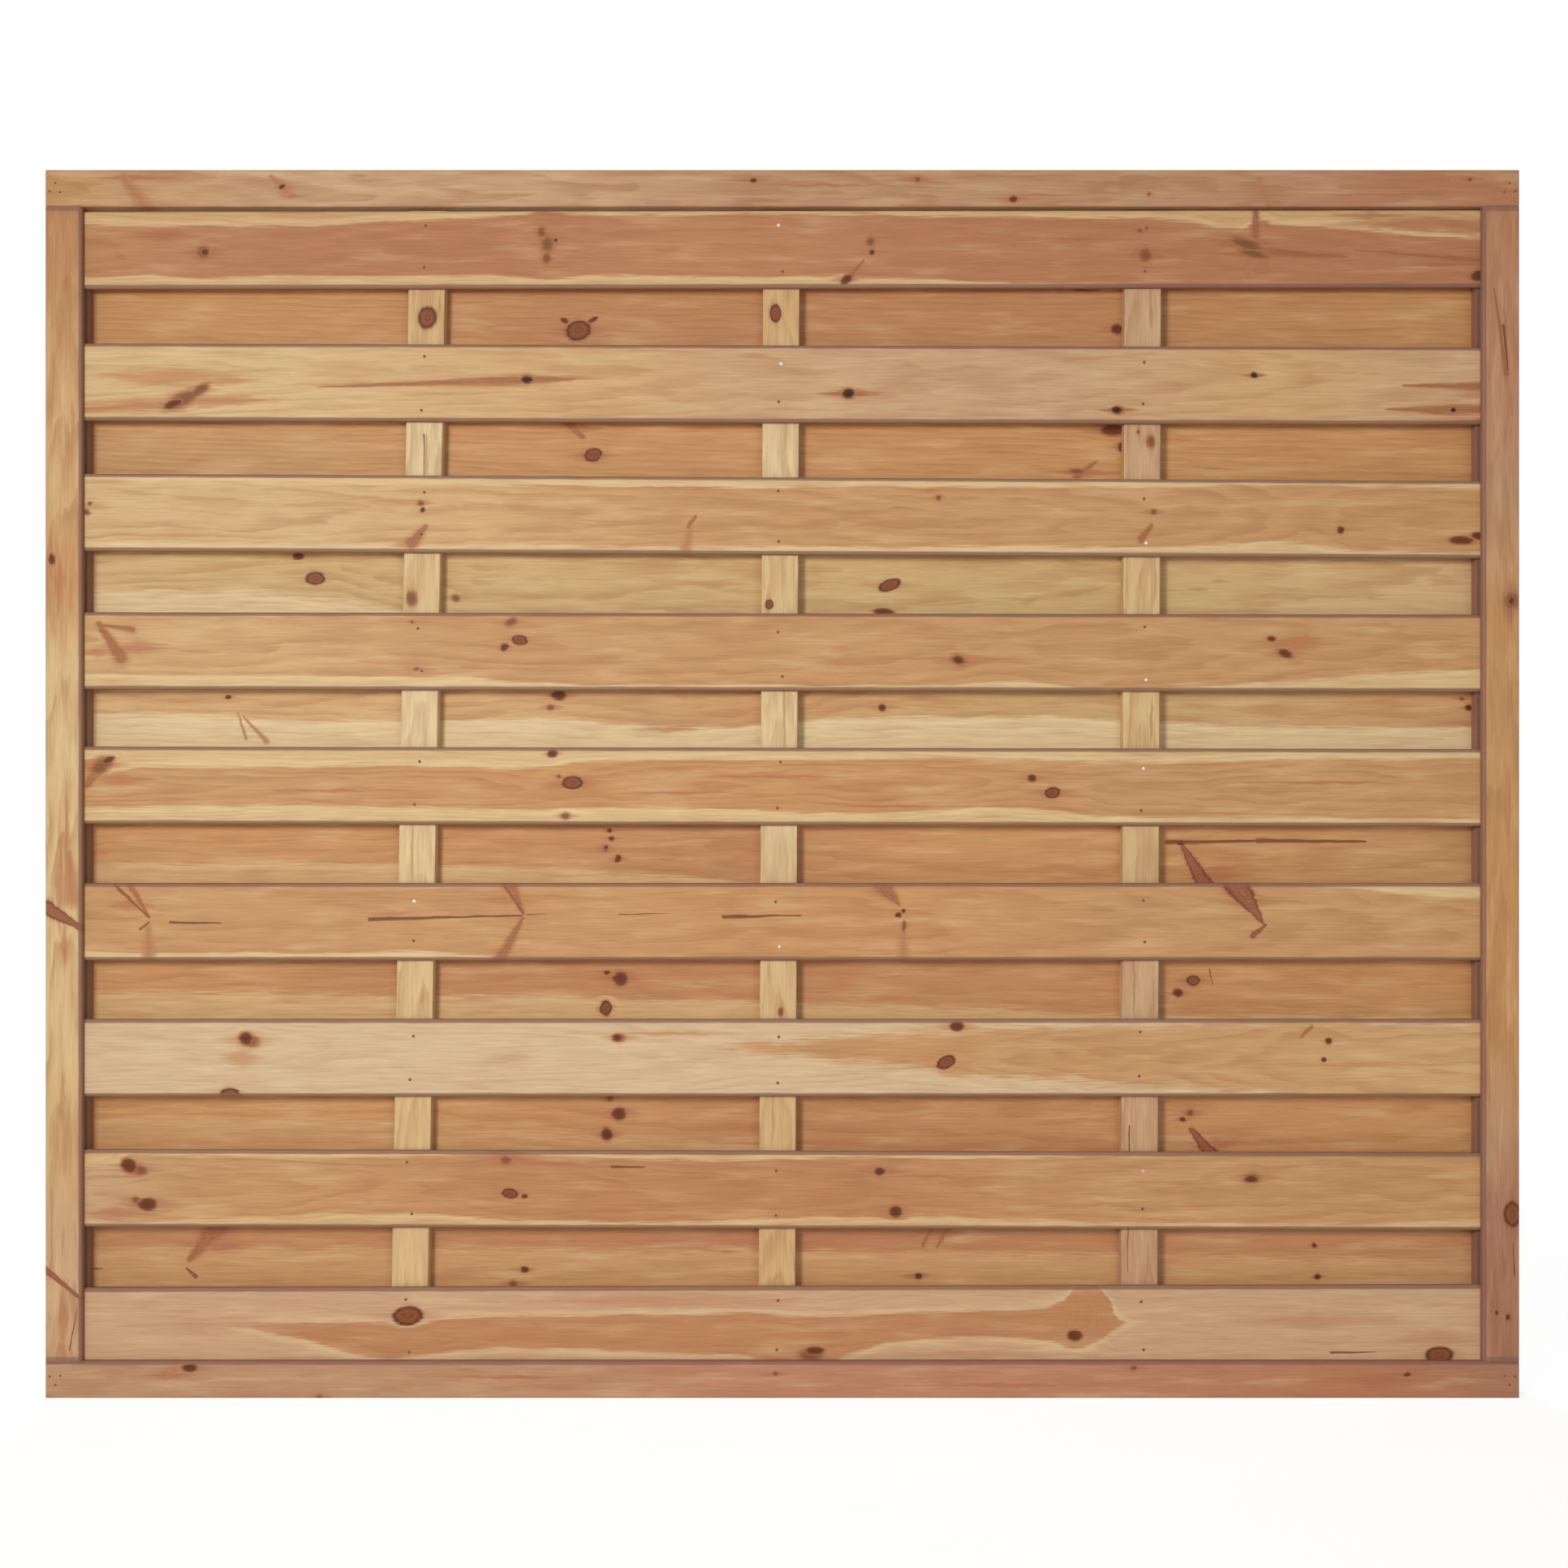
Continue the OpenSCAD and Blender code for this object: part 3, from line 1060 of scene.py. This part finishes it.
        hearts=(
            Heart(40, -36, 70), Heart(320, -37, 70), Heart(500, -40, 70), Heart(800, -60, 70),
            Heart(1300, -62, 60), Heart(1600, -60, 42), Heart(1770, -60, 26),
        ),
        rings=Rings(6.5, 10.0, 36.0, 0.02, 0.35),
        marks=(
            Spike((125, 5.5), (100, 46), 1, 4.5), Spike((124, 5.6), (82, 45), 1, 2, DARK),
            Spike((123, -7), (124, -46), 4, 7, PALE), Spike((124, -0.7), (113, -8.5), 1, 1.5, DARK),
            Crack((150, -0.8), (212, -1.5), 1.5), Spike((582, 11.4), (566, 46), 2.5, 8.8),
            Spike((582, 11), (558, 46), 0.8, 1.5, DARK), Spike((582, 4.5), (555, -44), 2, 8.8),
            Crack((395, 3), (581, 8), 2.0), Crack((587, 9.4), (612, 9.4), 0.6),
            Spike((1043, 21), (1022, 46), 2, 12.9), Knot(1048, 13.7, 2.5, BLACK, 1.0, 2),
            Knot(1042, 8.6, 3, BLACK, 1.3, 2), Knot(1049, -6, 8, FAINT, 0.42, 2),
            Spike((1048, -17), (1048, -42), 5, 6, PALE), Spike((1489, -1.4), (1456, 47), 1.5, 16, DARK),
            Spike((1492, -3.5), (1477, -17), 1.5, 3.2, DARK), Crack((828, 6), (922, 8), 2.0),
            Crack((700, 9), (760, 10), 0.7), Stain(100, 20, 80, 18), Stain(560, 26, 90, 18),
            Stain(1470, 24, 110, 26),
        ),
    ),
    "front_slat_7": Wood(
        tones=((40, TAN), (900, TAN), (1300, TAN), (1770, HONEY)),
        sap=CREAM,
        blur=8.0,
        hearts=(
            Heart(40, 24, -8), Heart(740, 24, -8), Heart(850, 8, 14), Heart(940, 0, 22),
            Heart(1040, -8, 30), Heart(1110, -16, 35), Heart(1250, -26, 37), Heart(1400, -34, 38),
            Heart(1490, -42, 43), Heart(1540, -46, 48), Heart(1600, -52, 44), Heart(1770, -58, 44),
        ),
        rings=Rings(6.0, 2.0, 30.0, 0.02, 0.35),
        stain="#b98455",
        marks=(
            Knot(247, 22, 9, FAINT, 1.6, 3, -12), Knot(243, 24, 7.5, BLACK, 1.2, 2, -12),
            Knot(223, -45, 8, RINGED, 1.6, 2.5), Stain(238, 0, 70, 30), Knot(699, 25, 6, FAINT, 1.6, 3),
            Knot(697, 25, 4.5, BLACK, 1.4, 3), Knot(1114, 39, 6.5, BLACK, 1.3, 4),
            Stain(1010, 4, 160, 6), Knot(1101, -5, 7.5, RINGED, 1.6, 4, 26),
            Knot(1569, 21, 4, BLACK, 1.1, 4), Knot(1564, -2, 3, BLACK, 1.1, 3),
            Spike((1535, 26), (1548, 38), 2, 3), Stain(1600, -8, 300, 10), Stain(760, 30, 260, 8),
        ),
    ),
    "front_slat_8": Wood(
        tones=(
            (40, FAWN), (200, TAN), (300, TAN), (600, CHESTNUT), (1000, CHESTNUT), (1350, TAN),
            (1770, TAN),
        ),
        sap=HONEY,
        hearts=(
            Heart(40, -38, 28), Heart(150, -36, 38), Heart(400, -30, 37), Heart(560, -34, 42),
            Heart(800, -40, 36), Heart(1000, -32, 38), Heart(1300, -38, 42), Heart(1770, -34, 55),
        ),
        rings=Rings(5.5, 0.0, 30.0, 0.02, 0.4),
        stain="#a7684a",
        marks=(
            Knot(113, 23, 7, FAINT, 1.6, 3, -15), Knot(99, 28, 8.5, BLACK, 1.25, 2, -20),
            Knot(122, -19, 8, BLACK, 1.5, 4), Knot(108, -14, 5, FAINT, 1.4, 3), Stain(85, -30, 120, 20),
            Knot(561, 36, 6, FAINT, 1.4, 5), Knot(566, -5, 6, RINGED, 1.6, 3, -8),
            Knot(584, -8, 2.5, BLACK, 1.6, 2), Stain(625, 32, 150, 6), Crack((692, 28), (732, 28), 1.6),
            Knot(1019, 23, 5, BLACK, 1.3, 7), Knot(1039, -26, 7, BLACK, 1.2, 4),
            Knot(1475, 16, 7, FAINT, 1.8, 3), Knot(1475, 15, 4, BLACK, 2.2, 2), Stain(1080, 17, 160, 6),
        ),
    ),
    "front_slat_9": Wood(
        tones=((40, CHESTNUT), (700, CHESTNUT), (1000, CHESTNUT), (1300, CHESTNUT), (1770, AMBER)),
        sap=SAND,
        hearts=(
            Heart(40, 12, -10), Heart(215, 8, -6), Heart(262, -6, 1), Heart(325, -18, 3),
            Heart(392, -35, 5), Heart(440, -36, 6), Heart(500, -28, 10), Heart(600, -27, 12),
            Heart(860, -36, 14), Heart(900, -44, 10), Heart(962, -42, 8), Heart(1016, -25, 12),
            Heart(1064, -17, 14), Heart(1136, -14, 16), Heart(1200, -16, 19), Heart(1235, -19, 25),
            Heart(1255, -24, 36), Heart(1266, -25, 52), Heart(1287, -18, 50), Heart(1300, -10, 30),
            Heart(1310, -4, 12), Heart(1322, 2, 2), Heart(1350, 10, -6), Heart(1770, 14, -10),
        ),
        rings=Rings(6.5, 0.0, 26.0, 0.01, 0.3),
        stain="#b58360",
        edges=(0.3, 5.6),
        marks=(
            Knot(441, 13, 11.5, RINGED, 1.6, 2, 5), Stain(440, 14, 130, 24),
            Knot(935, -36, 10, FAINT, 1.8, 3), Knot(940, -31, 5, BLACK, 2.4, 3),
            Knot(1258, -13, 7, BLACK, 1.4, 4), Knot(1705, -38, 10, RINGED, 1.7, 2.5),
            Crack((1572, -35), (1627, -34), 1.4), Stain(1700, -20, 150, 34), Stain(1550, 4, 280, 24),
            Stain(250, 2, 420, 10), Stain(1130, -36, 300, 12), Stain(760, 31, 460, 26),
        ),
    ),
    "back_slat_1": Wood(
        tones=((40, AMBER), (350, AMBER), (600, CHESTNUT), (1250, CHESTNUT), (1770, AMBER)),
        rings=Rings(6.0, -70.0, 40.0, 0.02, 0.35),
        stain="#a86742",
        marks=(
            Knot(647, -10, 12, RINGED, 1.3, 2.5, 14), Knot(630, 2, 3, BLACK, 2.0, 2, -30),
            Knot(665, 3, 3, BLACK, 2.0, 2, 30), Knot(1315, -8, 7, BLACK, 1.1, 5),
            Knot(1275, 40, 2, FAINT, 10.0, 1),
        ),
    ),
    "back_slat_2": Wood(
        tones=((40, TAN), (300, TAN), (600, AMBER), (1770, AMBER)),
        rings=Rings(6.0, -80.0, 40.0, 0.03, 0.35),
        stain="#a5633f",
        marks=(
            Knot(665, -2, 8, RINGED, 1.35, 3, 18), Spike((652, 20), (632, 40), 3, 7),
            Stain(650, 30, 60, 16), Knot(1309, 31, 7, BLACK, 2.2, 3), Knot(1322, 10, 6, BLACK, 1.0, 3),
            Knot(1266, -20, 4, FAINT, 3.0, 3), Spike((1290, -8), (1266, -26), 1.5, 5),
            Stain(1275, -22, 90, 14),
        ),
    ),
    "back_slat_3": Wood(
        tones=((40, OAT), (200, BUFF), (1300, BUFF), (1770, OAT)),
        sap=STRAW,
        hearts=(Heart(40, -12, 90), Heart(350, -15, 90), Heart(520, -60, 90), Heart(1770, -80, 90)),
        blur=6.0,
        rings=Rings(5.0, 4.0, 34.0, 0.035, 0.4),
        stain="#b08450",
        marks=(
            Knot(320, 8, 8, RINGED, 1.5, 3), Knot(299, 35, 4.5, BLACK, 1.7, 5),
            Knot(1033, 2, 7, RINGED, 2.1, 2.5, 20), Stain(1030, 2, 90, 18),
            Knot(1026, -31, 4, BLACK, 3.4, 2), Knot(495, -16, 5, FAINT),
        ),
    ),
    "back_slat_4": Wood(
        tones=((40, HONEY), (480, HONEY), (900, TAN), (1300, BUFF), (1770, TAN)),
        sap=STRAW,
        hearts=(
            Heart(40, 6, 90), Heart(300, 0, 90), Heart(600, 0, 90), Heart(720, -8, 90),
            Heart(850, -10, 90), Heart(950, 2, 90), Heart(1100, 6, 90), Heart(1400, -2, 90),
            Heart(1600, -6, 90), Heart(1770, -8, 90),
        ),
        blur=3.5,
        rings=Rings(6.0, 30.0, 40.0, 0.02, 0.4),
        marks=(
            Knot(212, 27, 3, BLACK, 1.3, 3), Spike((230, 4), (260, -28), 1, 2.6, PALE),
            Spike((224, 8), (234, -24), 0.8, 1.8, PALE), Knot(612, 15, 4, FAINT),
            Knot(622, 30, 6, BLACK, 1.6, 3), Knot(1024, 16, 4.6, BLACK, 1.1, 6),
            Knot(1743, 28, 3, FAINT), Knot(1752, 17, 4, BLACK, 1.2, 3), Stain(760, -12, 120, 10),
        ),
    ),
    "back_slat_5": Wood(
        tones=((40, AMBER), (480, AMBER), (850, CHESTNUT), (1050, AMBER), (1400, AMBER), (1770, TAN)),
        sap=HONEY,
        hearts=(
            Heart(40, -12, 90), Heart(480, -16, 90), Heart(800, -30, 90), Heart(1100, -60, 90),
            Heart(1770, -70, 90),
        ),
        blur=4.0,
        rings=Rings(6.5, -60.0, 36.0, 0.02, 0.4),
        stain="#a86542",
        marks=(
            Knot(685, 28, 2.5, BLACK), Knot(688, 18, 3, BLACK), Knot(681, 6, 5, FAINT, 0.9),
            Knot(682, 7, 2.5, BLACK, 0.9), Knot(696, -7, 5, BLACK, 0.8),
            Spike((1395, 12), (1432, -52), 2, 13, DARK), Crack((1378, 14), (1500, 16), 2.8),
            Crack((1490, 16), (1624, 15), 2.6), Knot(1394, 13, 3, PIT, 1.6, 3),
            Stain(1440, -26, 120, 26),
        ),
    ),
    "back_slat_6": Wood(
        tones=((40, AMBER), (480, CHESTNUT), (900, CHESTNUT), (1770, AMBER)),
        sap=HONEY,
        hearts=(
            Heart(40, -6, 90), Heart(480, -10, 90), Heart(800, -15, 90), Heart(1100, -26, 90),
            Heart(1770, -40, 90),
        ),
        blur=5.0,
        rings=Rings(5.0, -60.0, 36.0, 0.03, 0.35),
        stain="#a4613e",
        marks=(
            Knot(699, 11, 9, BLACK, 1.1, 4), Knot(682, 18, 3, BLACK), Knot(681, -26, 9, RINGED, 0.8, 2),
            Knot(1410, 8, 6, RINGED, 1.4, 3), Knot(1391, -7, 5.5, BLACK, 1.2, 3),
            Crack((1430, 22), (1434, 4), 0.8),
        ),
    ),
    "back_slat_7": Wood(
        tones=((40, AMBER), (480, AMBER), (900, CHESTNUT), (1770, AMBER)),
        sap=TAN,
        hearts=(Heart(40, 2, 90), Heart(480, -6, 90), Heart(800, -30, 90), Heart(1770, -60, 90)),
        blur=5.0,
        rings=Rings(6.5, -80.0, 36.0, 0.02, 0.4),
        stain="#a76644",
        marks=(
            Knot(697, 7, 8, BLACK, 1.15, 4), Knot(682, -18, 8, BLACK, 0.95, 3),
            Knot(686, 27, 5, FAINT, 1.1, 3), Knot(1397, 1, 3, BLACK), Knot(1406, 9, 5, FAINT, 1.2, 3),
            Spike((1408, -12), (1438, -50), 3, 10, DARK), Stain(1440, -28, 80, 20),
        ),
    ),
    "back_slat_8": Wood(
        tones=((40, CHESTNUT), (480, CHESTNUT), (900, RUSSET), (1300, CHESTNUT), (1770, CHESTNUT)),
        sap=TAN,
        hearts=(Heart(40, 4, 90), Heart(600, 2, 90), Heart(1100, 0, 90), Heart(1770, -10, 90)),
        blur=7.0,
        rings=Rings(6.5, -70.0, 36.0, 0.02, 0.25),
        stain="#a16347",
        marks=(
            Spike((164, -10), (200, 33), 3, 17), Spike((160, -21), (172, -31), 1.2, 2.2, DARK),
            Crack((20, -20), (56, -21), 1.4), Stain(200, 8, 110, 24), Knot(580, -22, 4, BLACK, 1.3, 4),
            Knot(566, -40, 5, FAINT), Spike((1074, 6), (1088, 38), 1.5, 4),
            Spike((1092, 6), (1110, 38), 1.5, 4.5), Spike((1100, 22), (1122, 38), 1, 3),
            Stain(1096, 24, 90, 22), Knot(1069, -30, 4, BLACK, 1.2, 5), Knot(1560, 8, 4, BLACK, 0.9, 3),
            Knot(1564, -31, 4, BLACK, 1.1, 3),
        ),
    ),
}


@dataclass
class Boards:
    """A set of boards that are dressed alike, by the names of their CAD nodes."""

    names: tuple[str, ...]
    upright: bool
    finish: PineFinish = PineFinish()
    seed_step: float = 731.0

    def dress(self, nodes: dict[str, bpy.types.Object], first_seed: float) -> None:
        """Gives each board its own wood.

        Args:
            nodes: The CAD objects by name.
            first_seed: Where in the noise the first board is cut from, in millimetres.
        """
        for count, name in enumerate(self.names):
            node = nodes[name]
            lie = lie_of(node, self.upright)
            seed = first_seed + count * self.seed_step
            builder = PineBuilder(self.finish, WOODS[name], lie, self.upright, seed)
            node.data.materials.clear()
            node.data.materials.append(builder.build(f"pine_{name}"))
            LOG.info("%s dressed, half width %.1f mm", name, lie.half / MM)


@dataclass(frozen=True)
class NailFinish:
    """Bright nail heads that have dulled here and there."""

    bright: str = "#d9d2c6"
    dull: str = "#754a36"
    roughness: float = 0.38
    dull_roughness: float = 0.4
    grime_size: float = 0.0009
    grime_rise: tuple[float, float] = (0.4, 0.7)
    grime_share: float = 0.25

    def build(self, name: str) -> bpy.types.Material:
        """Makes the metal, which reads each head's own dullness.

        Args:
            name: The material's name.

        Returns:
            The finished material.
        """
        g = Graph(bpy.data.materials.new(name))
        dull = g.add("ShaderNodeAttribute", {"attribute_name": "dull"}, None, "Fac")
        across, _, up = g.parts(g.add("ShaderNodeTexCoord", None, None, "Object"))
        face = g.add("ShaderNodeCombineXYZ", None, {0: across, 1: up})
        grime = g.parts(g.noise(face, (self.grime_size, self.grime_size), 2.0))[0]
        amount = (dull + grime.rise(*self.grime_rise) * self.grime_share).least(1.0)
        color = g.mix(amount, linear(self.bright), linear(self.dull))
        shader = g.add(
            "ShaderNodeBsdfPrincipled",
            None,
            {
                "Base Color": color,
                "Metallic": 1 - amount,
                "Roughness": amount.times_plus(self.dull_roughness, self.roughness),
            },
        )
        g.output(shader)
        return g.owner


@dataclass
class Fixings:
    """Round nail heads, pressed flush into the face of a board."""

    radius: float = 0.0018
    proud: float = 0.0003
    sunk: float = 0.0012
    rounding: float = 0.6
    around: int = 20
    rings: int = 5
    finish: NailFinish = NailFinish()

    def heads(self, name: str, centres: np.ndarray, outward: float, dull: np.ndarray) -> bpy.types.Object:
        """Builds one mesh that holds a head at every centre.

        Each head is a profile turned about the nail's axis. Its height over the face falls with the
        square of the distance from the axis, and its rim goes straight into the board.

        Args:
            name: The piece's name.
            centres: Points on the board's face, one row each, in metres.
            outward: The face's direction along Y, 1 or -1.
            dull: How dull each head is, from 0 to 1.

        Returns:
            The finished piece.
        """
        share = np.linspace(0.0, 1.0, self.rings + 1)[1:]
        radii = np.append(self.radius * share, self.radius)
        heights = np.append(self.proud * (1.0 - self.rounding * share**2), -self.sunk)
        turn = np.arange(self.around) * (2 * math.pi / self.around)
        ring_x = np.outer(radii, np.cos(turn)).ravel()
        ring_z = np.outer(radii, np.sin(turn)).ravel()
        ring_y = np.repeat(heights, self.around)
        x = np.concatenate(([0.0], ring_x, [0.0]))
        y = np.concatenate(([self.proud], ring_y, [-self.sunk])) * outward
        z = np.concatenate(([0.0], ring_z, [0.0]))
        single = np.stack([x, y, z], axis=1)
        points = (centres[:, None, :] + single[None, :, :]).reshape(-1, 3)
        faces = self._faces(len(radii), outward)
        mesh = bpy.data.meshes.new(name)
        shift = len(single)
        starts = range(0, shift * len(centres), shift)
        every = [tuple(corner + start for corner in face) for start in starts for face in faces]
        mesh.from_pydata(points.tolist(), [], every)
        layer = mesh.attributes.new("dull", "FLOAT", "POINT")
        layer.data.foreach_set("value", np.repeat(dull, shift).astype(np.float32))
        mesh.materials.append(self.finish.build(f"{name}_metal"))
        piece = bpy.data.objects.new(name, mesh)
        bpy.context.scene.collection.objects.link(piece)
        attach(piece, "root")
        LOG.info("%s: %d heads", name, len(centres))
        return piece

    def _faces(self, loops: int, outward: float) -> list[tuple[int, ...]]:
        """Faces of one head: a fan on top, bands between the loops and a fan below."""
        last = 1 + loops * self.around
        faces: list[tuple[int, ...]] = []
        for step in range(self.around):
            after = (step + 1) % self.around
            faces.append((0, 1 + after, 1 + step))
            for loop in range(loops - 1):
                low, high = 1 + loop * self.around, 1 + (loop + 1) * self.around
                faces.append((low + step, low + after, high + after, high + step))
            below = 1 + (loops - 1) * self.around
            faces.append((last, below + step, below + after))
        return faces if outward < 0 else [tuple(reversed(face)) for face in faces]


@dataclass
class Nailing:
    """Two nails wherever a slat crosses a batten, and three pins at each corner of the frame.

    The bright ones are named by slat, batten and nail, counted from the top left.
    """

    spread: float = 0.028
    stray_along: float = 0.004
    stray_up: float = 0.006
    bright: tuple[tuple[int, int, int], ...] = (
        (1, 2, 1), (2, 2, 1), (3, 3, 2), (4, 3, 2), (5, 3, 1), (6, 1, 1), (6, 2, 2), (8, 3, 1),
    )
    least_dull: float = 0.05
    corner_pins: tuple[tuple[float, float], ...] = ((0.013, 0.017), (0.006, 0.027), (0.019, 0.028))
    seed: int = 26
    fixings: Fixings = field(default_factory=Fixings)
    pins: Fixings = field(default_factory=lambda: Fixings(radius=0.0014))

    def build(self, nodes: dict[str, bpy.types.Object]) -> None:
        """Makes the nails of both layers and the pins of the frame.

        Args:
            nodes: The CAD objects by name.
        """
        chance = np.random.default_rng(self.seed)
        for layer, count, outward in (("front", FRONT_SLATS, -1.0), ("back", FRONT_SLATS - 1, 1.0)):
            centres = self._crossings(nodes, layer, count, outward, chance)
            dull = np.ones((count, len(BATTENS), 2))
            for slat, batten, nail in self.bright:
                if slat <= count:
                    dull[slat - 1, batten - 1, nail - 1] = self.least_dull
            self.fixings.heads(f"{layer}_nails", centres, outward, dull.ravel())
        self._pins(nodes)

    def _crossings(
        self,
        nodes: dict[str, bpy.types.Object],
        layer: str,
        count: int,
        outward: float,
        chance: np.random.Generator,
    ) -> np.ndarray:
        """Points on the slats' faces over the battens, a little astray as hand nailing is.

        Args:
            nodes: The CAD objects by name.
            layer: front or back.
            count: How many slats the layer has.
            outward: The face's direction along Y.
            chance: The source of the strays.

        Returns:
            One row for each nail, in metres.
        """
        slats = [lie_of(nodes[f"{layer}_slat_{number}"], False) for number in range(1, count + 1)]
        uprights = [lie_of(nodes[name], True) for name in BATTENS]
        low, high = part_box(f"{layer}_slat_1")
        face = low.y if outward < 0 else high.y
        slat_z = np.array([slat.origin[2] for slat in slats])[:, None, None]
        slat_slope = np.array([-math.tan(slat.turn) for slat in slats])[:, None, None]
        batten_x = np.array([one.origin[0] for one in uprights])[None, :, None]
        batten_slope = np.array([math.tan(one.turn + math.pi / 2) for one in uprights])[None, :, None]
        offsets = np.array([self.spread, -self.spread])[None, None, :]
        shape = (len(slats), len(uprights), 2)
        x = batten_x + batten_slope * slat_z + self.stray_along * chance.uniform(-1, 1, shape)
        z = slat_z + slat_slope * x + offsets + self.stray_up * chance.uniform(-1, 1, shape)
        return np.stack([x.ravel(), np.full(x.size, face), z.ravel()], axis=1)

    def _pins(self, nodes: dict[str, bpy.types.Object]) -> None:
        """Places the pins through the tenons, mirrored from corner to corner."""
        low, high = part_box("top_rail")
        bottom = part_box("bottom_rail")[0].z
        rows = []
        for x_edge, x_way in ((low.x, 1.0), (high.x, -1.0)):
            for z_edge, z_way in ((high.z, -1.0), (bottom, 1.0)):
                rows += [(x_edge + x_way * x, low.y, z_edge + z_way * z) for x, z in self.corner_pins]
        self.pins.heads("corner_pins", np.array(rows), -1.0, np.ones(len(rows)))


@dataclass(frozen=True)
class SoftLamp:
    """A soft square lamp whose light doesn't weaken with distance.

    Its level is how bright a white board that faces it looks, from 0 to 1.
    """

    name: str
    place: tuple[float, float, float]
    size: float
    level: float

    def build(self, aim: tuple[float, float, float]) -> None:
        """Hangs the lamp in its place and points it at the aim.

        Args:
            aim: The point that it looks at, in metres.
        """
        data = bpy.data.lights.new(self.name, "AREA")
        data.shape = "SQUARE"
        data.size = self.size
        data.energy = 1.0
        g = Graph(data)
        even = g.add("ShaderNodeLightFalloff", None, {"Strength": self.level * LAMP_STRENGTH}, "Constant")
        g.output(g.add("ShaderNodeEmission", None, {"Strength": even}), "Light")
        lamp = bpy.data.objects.new(self.name, data)
        lamp.location = self.place
        way = np.array(aim) - np.array(self.place)
        flat = math.hypot(way[0], way[1])
        lamp.rotation_euler = (math.atan2(flat, -way[2]), 0.0, math.atan2(-way[0], way[1]))
        lamp.visible_camera = False
        bpy.context.scene.collection.objects.link(lamp)


@dataclass
class Studio:
    """Camera, pale floor and soft light, as in the photograph.

    The camera sees the floor's own glow, by the share `near_glow` at the panel and in full further away.
    """

    distance: float = 1.75
    frame_width: float = 1.913
    sensor: float = 36.0
    aside: float = 0.002
    far: float = 50.0
    floor_reach: float = 14.0
    floor_level: float = 0.86
    floor_glow: float = 1.16
    near_glow: float = 0.72
    glow_rise: tuple[float, float] = (1.2, 3.0)
    ambient: float = 0.26
    key: SoftLamp = SoftLamp("key", (-0.1, -1.75, 0.5), 0.5, 0.52)
    fill: SoftLamp = SoftLamp("fill", (2.2, -2.6, 0.3), 1.2, 0.12)
    back: SoftLamp = SoftLamp("back", (0.2, 2.4, 1.2), 1.6, 0.5)

    def build(self) -> None:
        """Makes the camera, the lights, the floor and the surroundings."""
        low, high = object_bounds()
        centre = (low[0] + high[0]) / 2
        front = low[1]
        self._camera(centre, front)
        for lamp in (self.key, self.fill, self.back):
            lamp.build((centre, 0.0, 0.0))
        self._floor(low[2], centre)
        self._world()

    def _camera(self, centre: float, front: float) -> None:
        """Aims the camera straight at the middle of the panel."""
        data = bpy.data.cameras.new("camera")
        data.sensor_width = self.sensor
        data.lens = self.sensor * self.distance / self.frame_width
        data.clip_end = self.far
        camera = bpy.data.objects.new("camera", data)
        camera.location = (centre + self.aside, front - self.distance, 0.0)
        camera.rotation_euler = (math.pi / 2, 0.0, 0.0)
        bpy.context.scene.collection.objects.link(camera)
        bpy.context.scene.camera = camera

    def _floor(self, level: float, centre: float) -> None:
        """Lays a pale floor that goes white to the camera and keeps the panel's shadow."""
        reach = self.floor_reach
        mesh = bpy.data.meshes.new("floor")
        ways = ((-1, -1), (1, -1), (1, 1), (-1, 1))
        corners = [(centre + x * reach, y * reach, level) for x, y in ways]
        mesh.from_pydata(corners, [], [(0, 1, 2, 3)])
        g = Graph(bpy.data.materials.new("pale_floor"))
        grey = self.floor_level
        matt = g.add("ShaderNodeBsdfDiffuse", None, {"Color": (grey, grey, grey, 1.0)})
        glow = g.add("ShaderNodeEmission", None, {"Strength": self.floor_glow})
        seen = g.add("ShaderNodeLightPath", None, None, "Is Camera Ray")
        place = g.add("ShaderNodeTexCoord", None, None, "Object")
        away = g.vector("DISTANCE", place, (centre, 0.0, level), output="Value").rise(*self.glow_rise)
        share = seen * away.times_plus(1 - self.near_glow, self.near_glow)
        mixed = g.add("ShaderNodeMixShader", None, {0: share, 1: matt, 2: glow})
        g.output(mixed)
        mesh.materials.append(g.owner)
        floor = bpy.data.objects.new("floor", mesh)
        bpy.context.scene.collection.objects.link(floor)
        floor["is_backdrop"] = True

    def _world(self) -> None:
        """Sets an even sky that is white to the camera and to reflections."""
        world = bpy.data.worlds.new("surroundings")
        bpy.context.scene.world = world
        g = Graph(world)
        seen = g.add("ShaderNodeLightPath", None, None, "Is Camera Ray")
        mirrored = Signal(g, seen.socket.node.outputs["Is Glossy Ray"])
        strength = seen.most(mirrored).times_plus(1.0 - self.ambient, self.ambient)
        sky = g.add("ShaderNodeBackground", None, {"Color": (1.0, 1.0, 1.0, 1.0), "Strength": strength})
        g.output(sky, "World")


def main() -> None:
    """Loads the panel, dresses its boards, adds the fixings and sets the scene."""
    logging.basicConfig(level=logging.INFO, format="%(name)s: %(message)s")
    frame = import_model()
    nodes = frame["nodes"]
    bpy.context.scene.view_settings.view_transform = "Standard"
    Studio().build()
    sets = (
        Boards(("top_rail", "bottom_rail"), False),
        Boards(("left_stile", "right_stile"), True),
        Boards(BATTENS, True),
        Boards(tuple(f"front_slat_{number}" for number in range(1, FRONT_SLATS + 1)), False),
        Boards(tuple(f"back_slat_{number}" for number in range(1, FRONT_SLATS)), False),
    )
    for count, boards in enumerate(sets):
        boards.dress(nodes, SEED_GAP * (count + 1))
    Nailing().build(nodes)


if __name__ == "__main__":
    main()
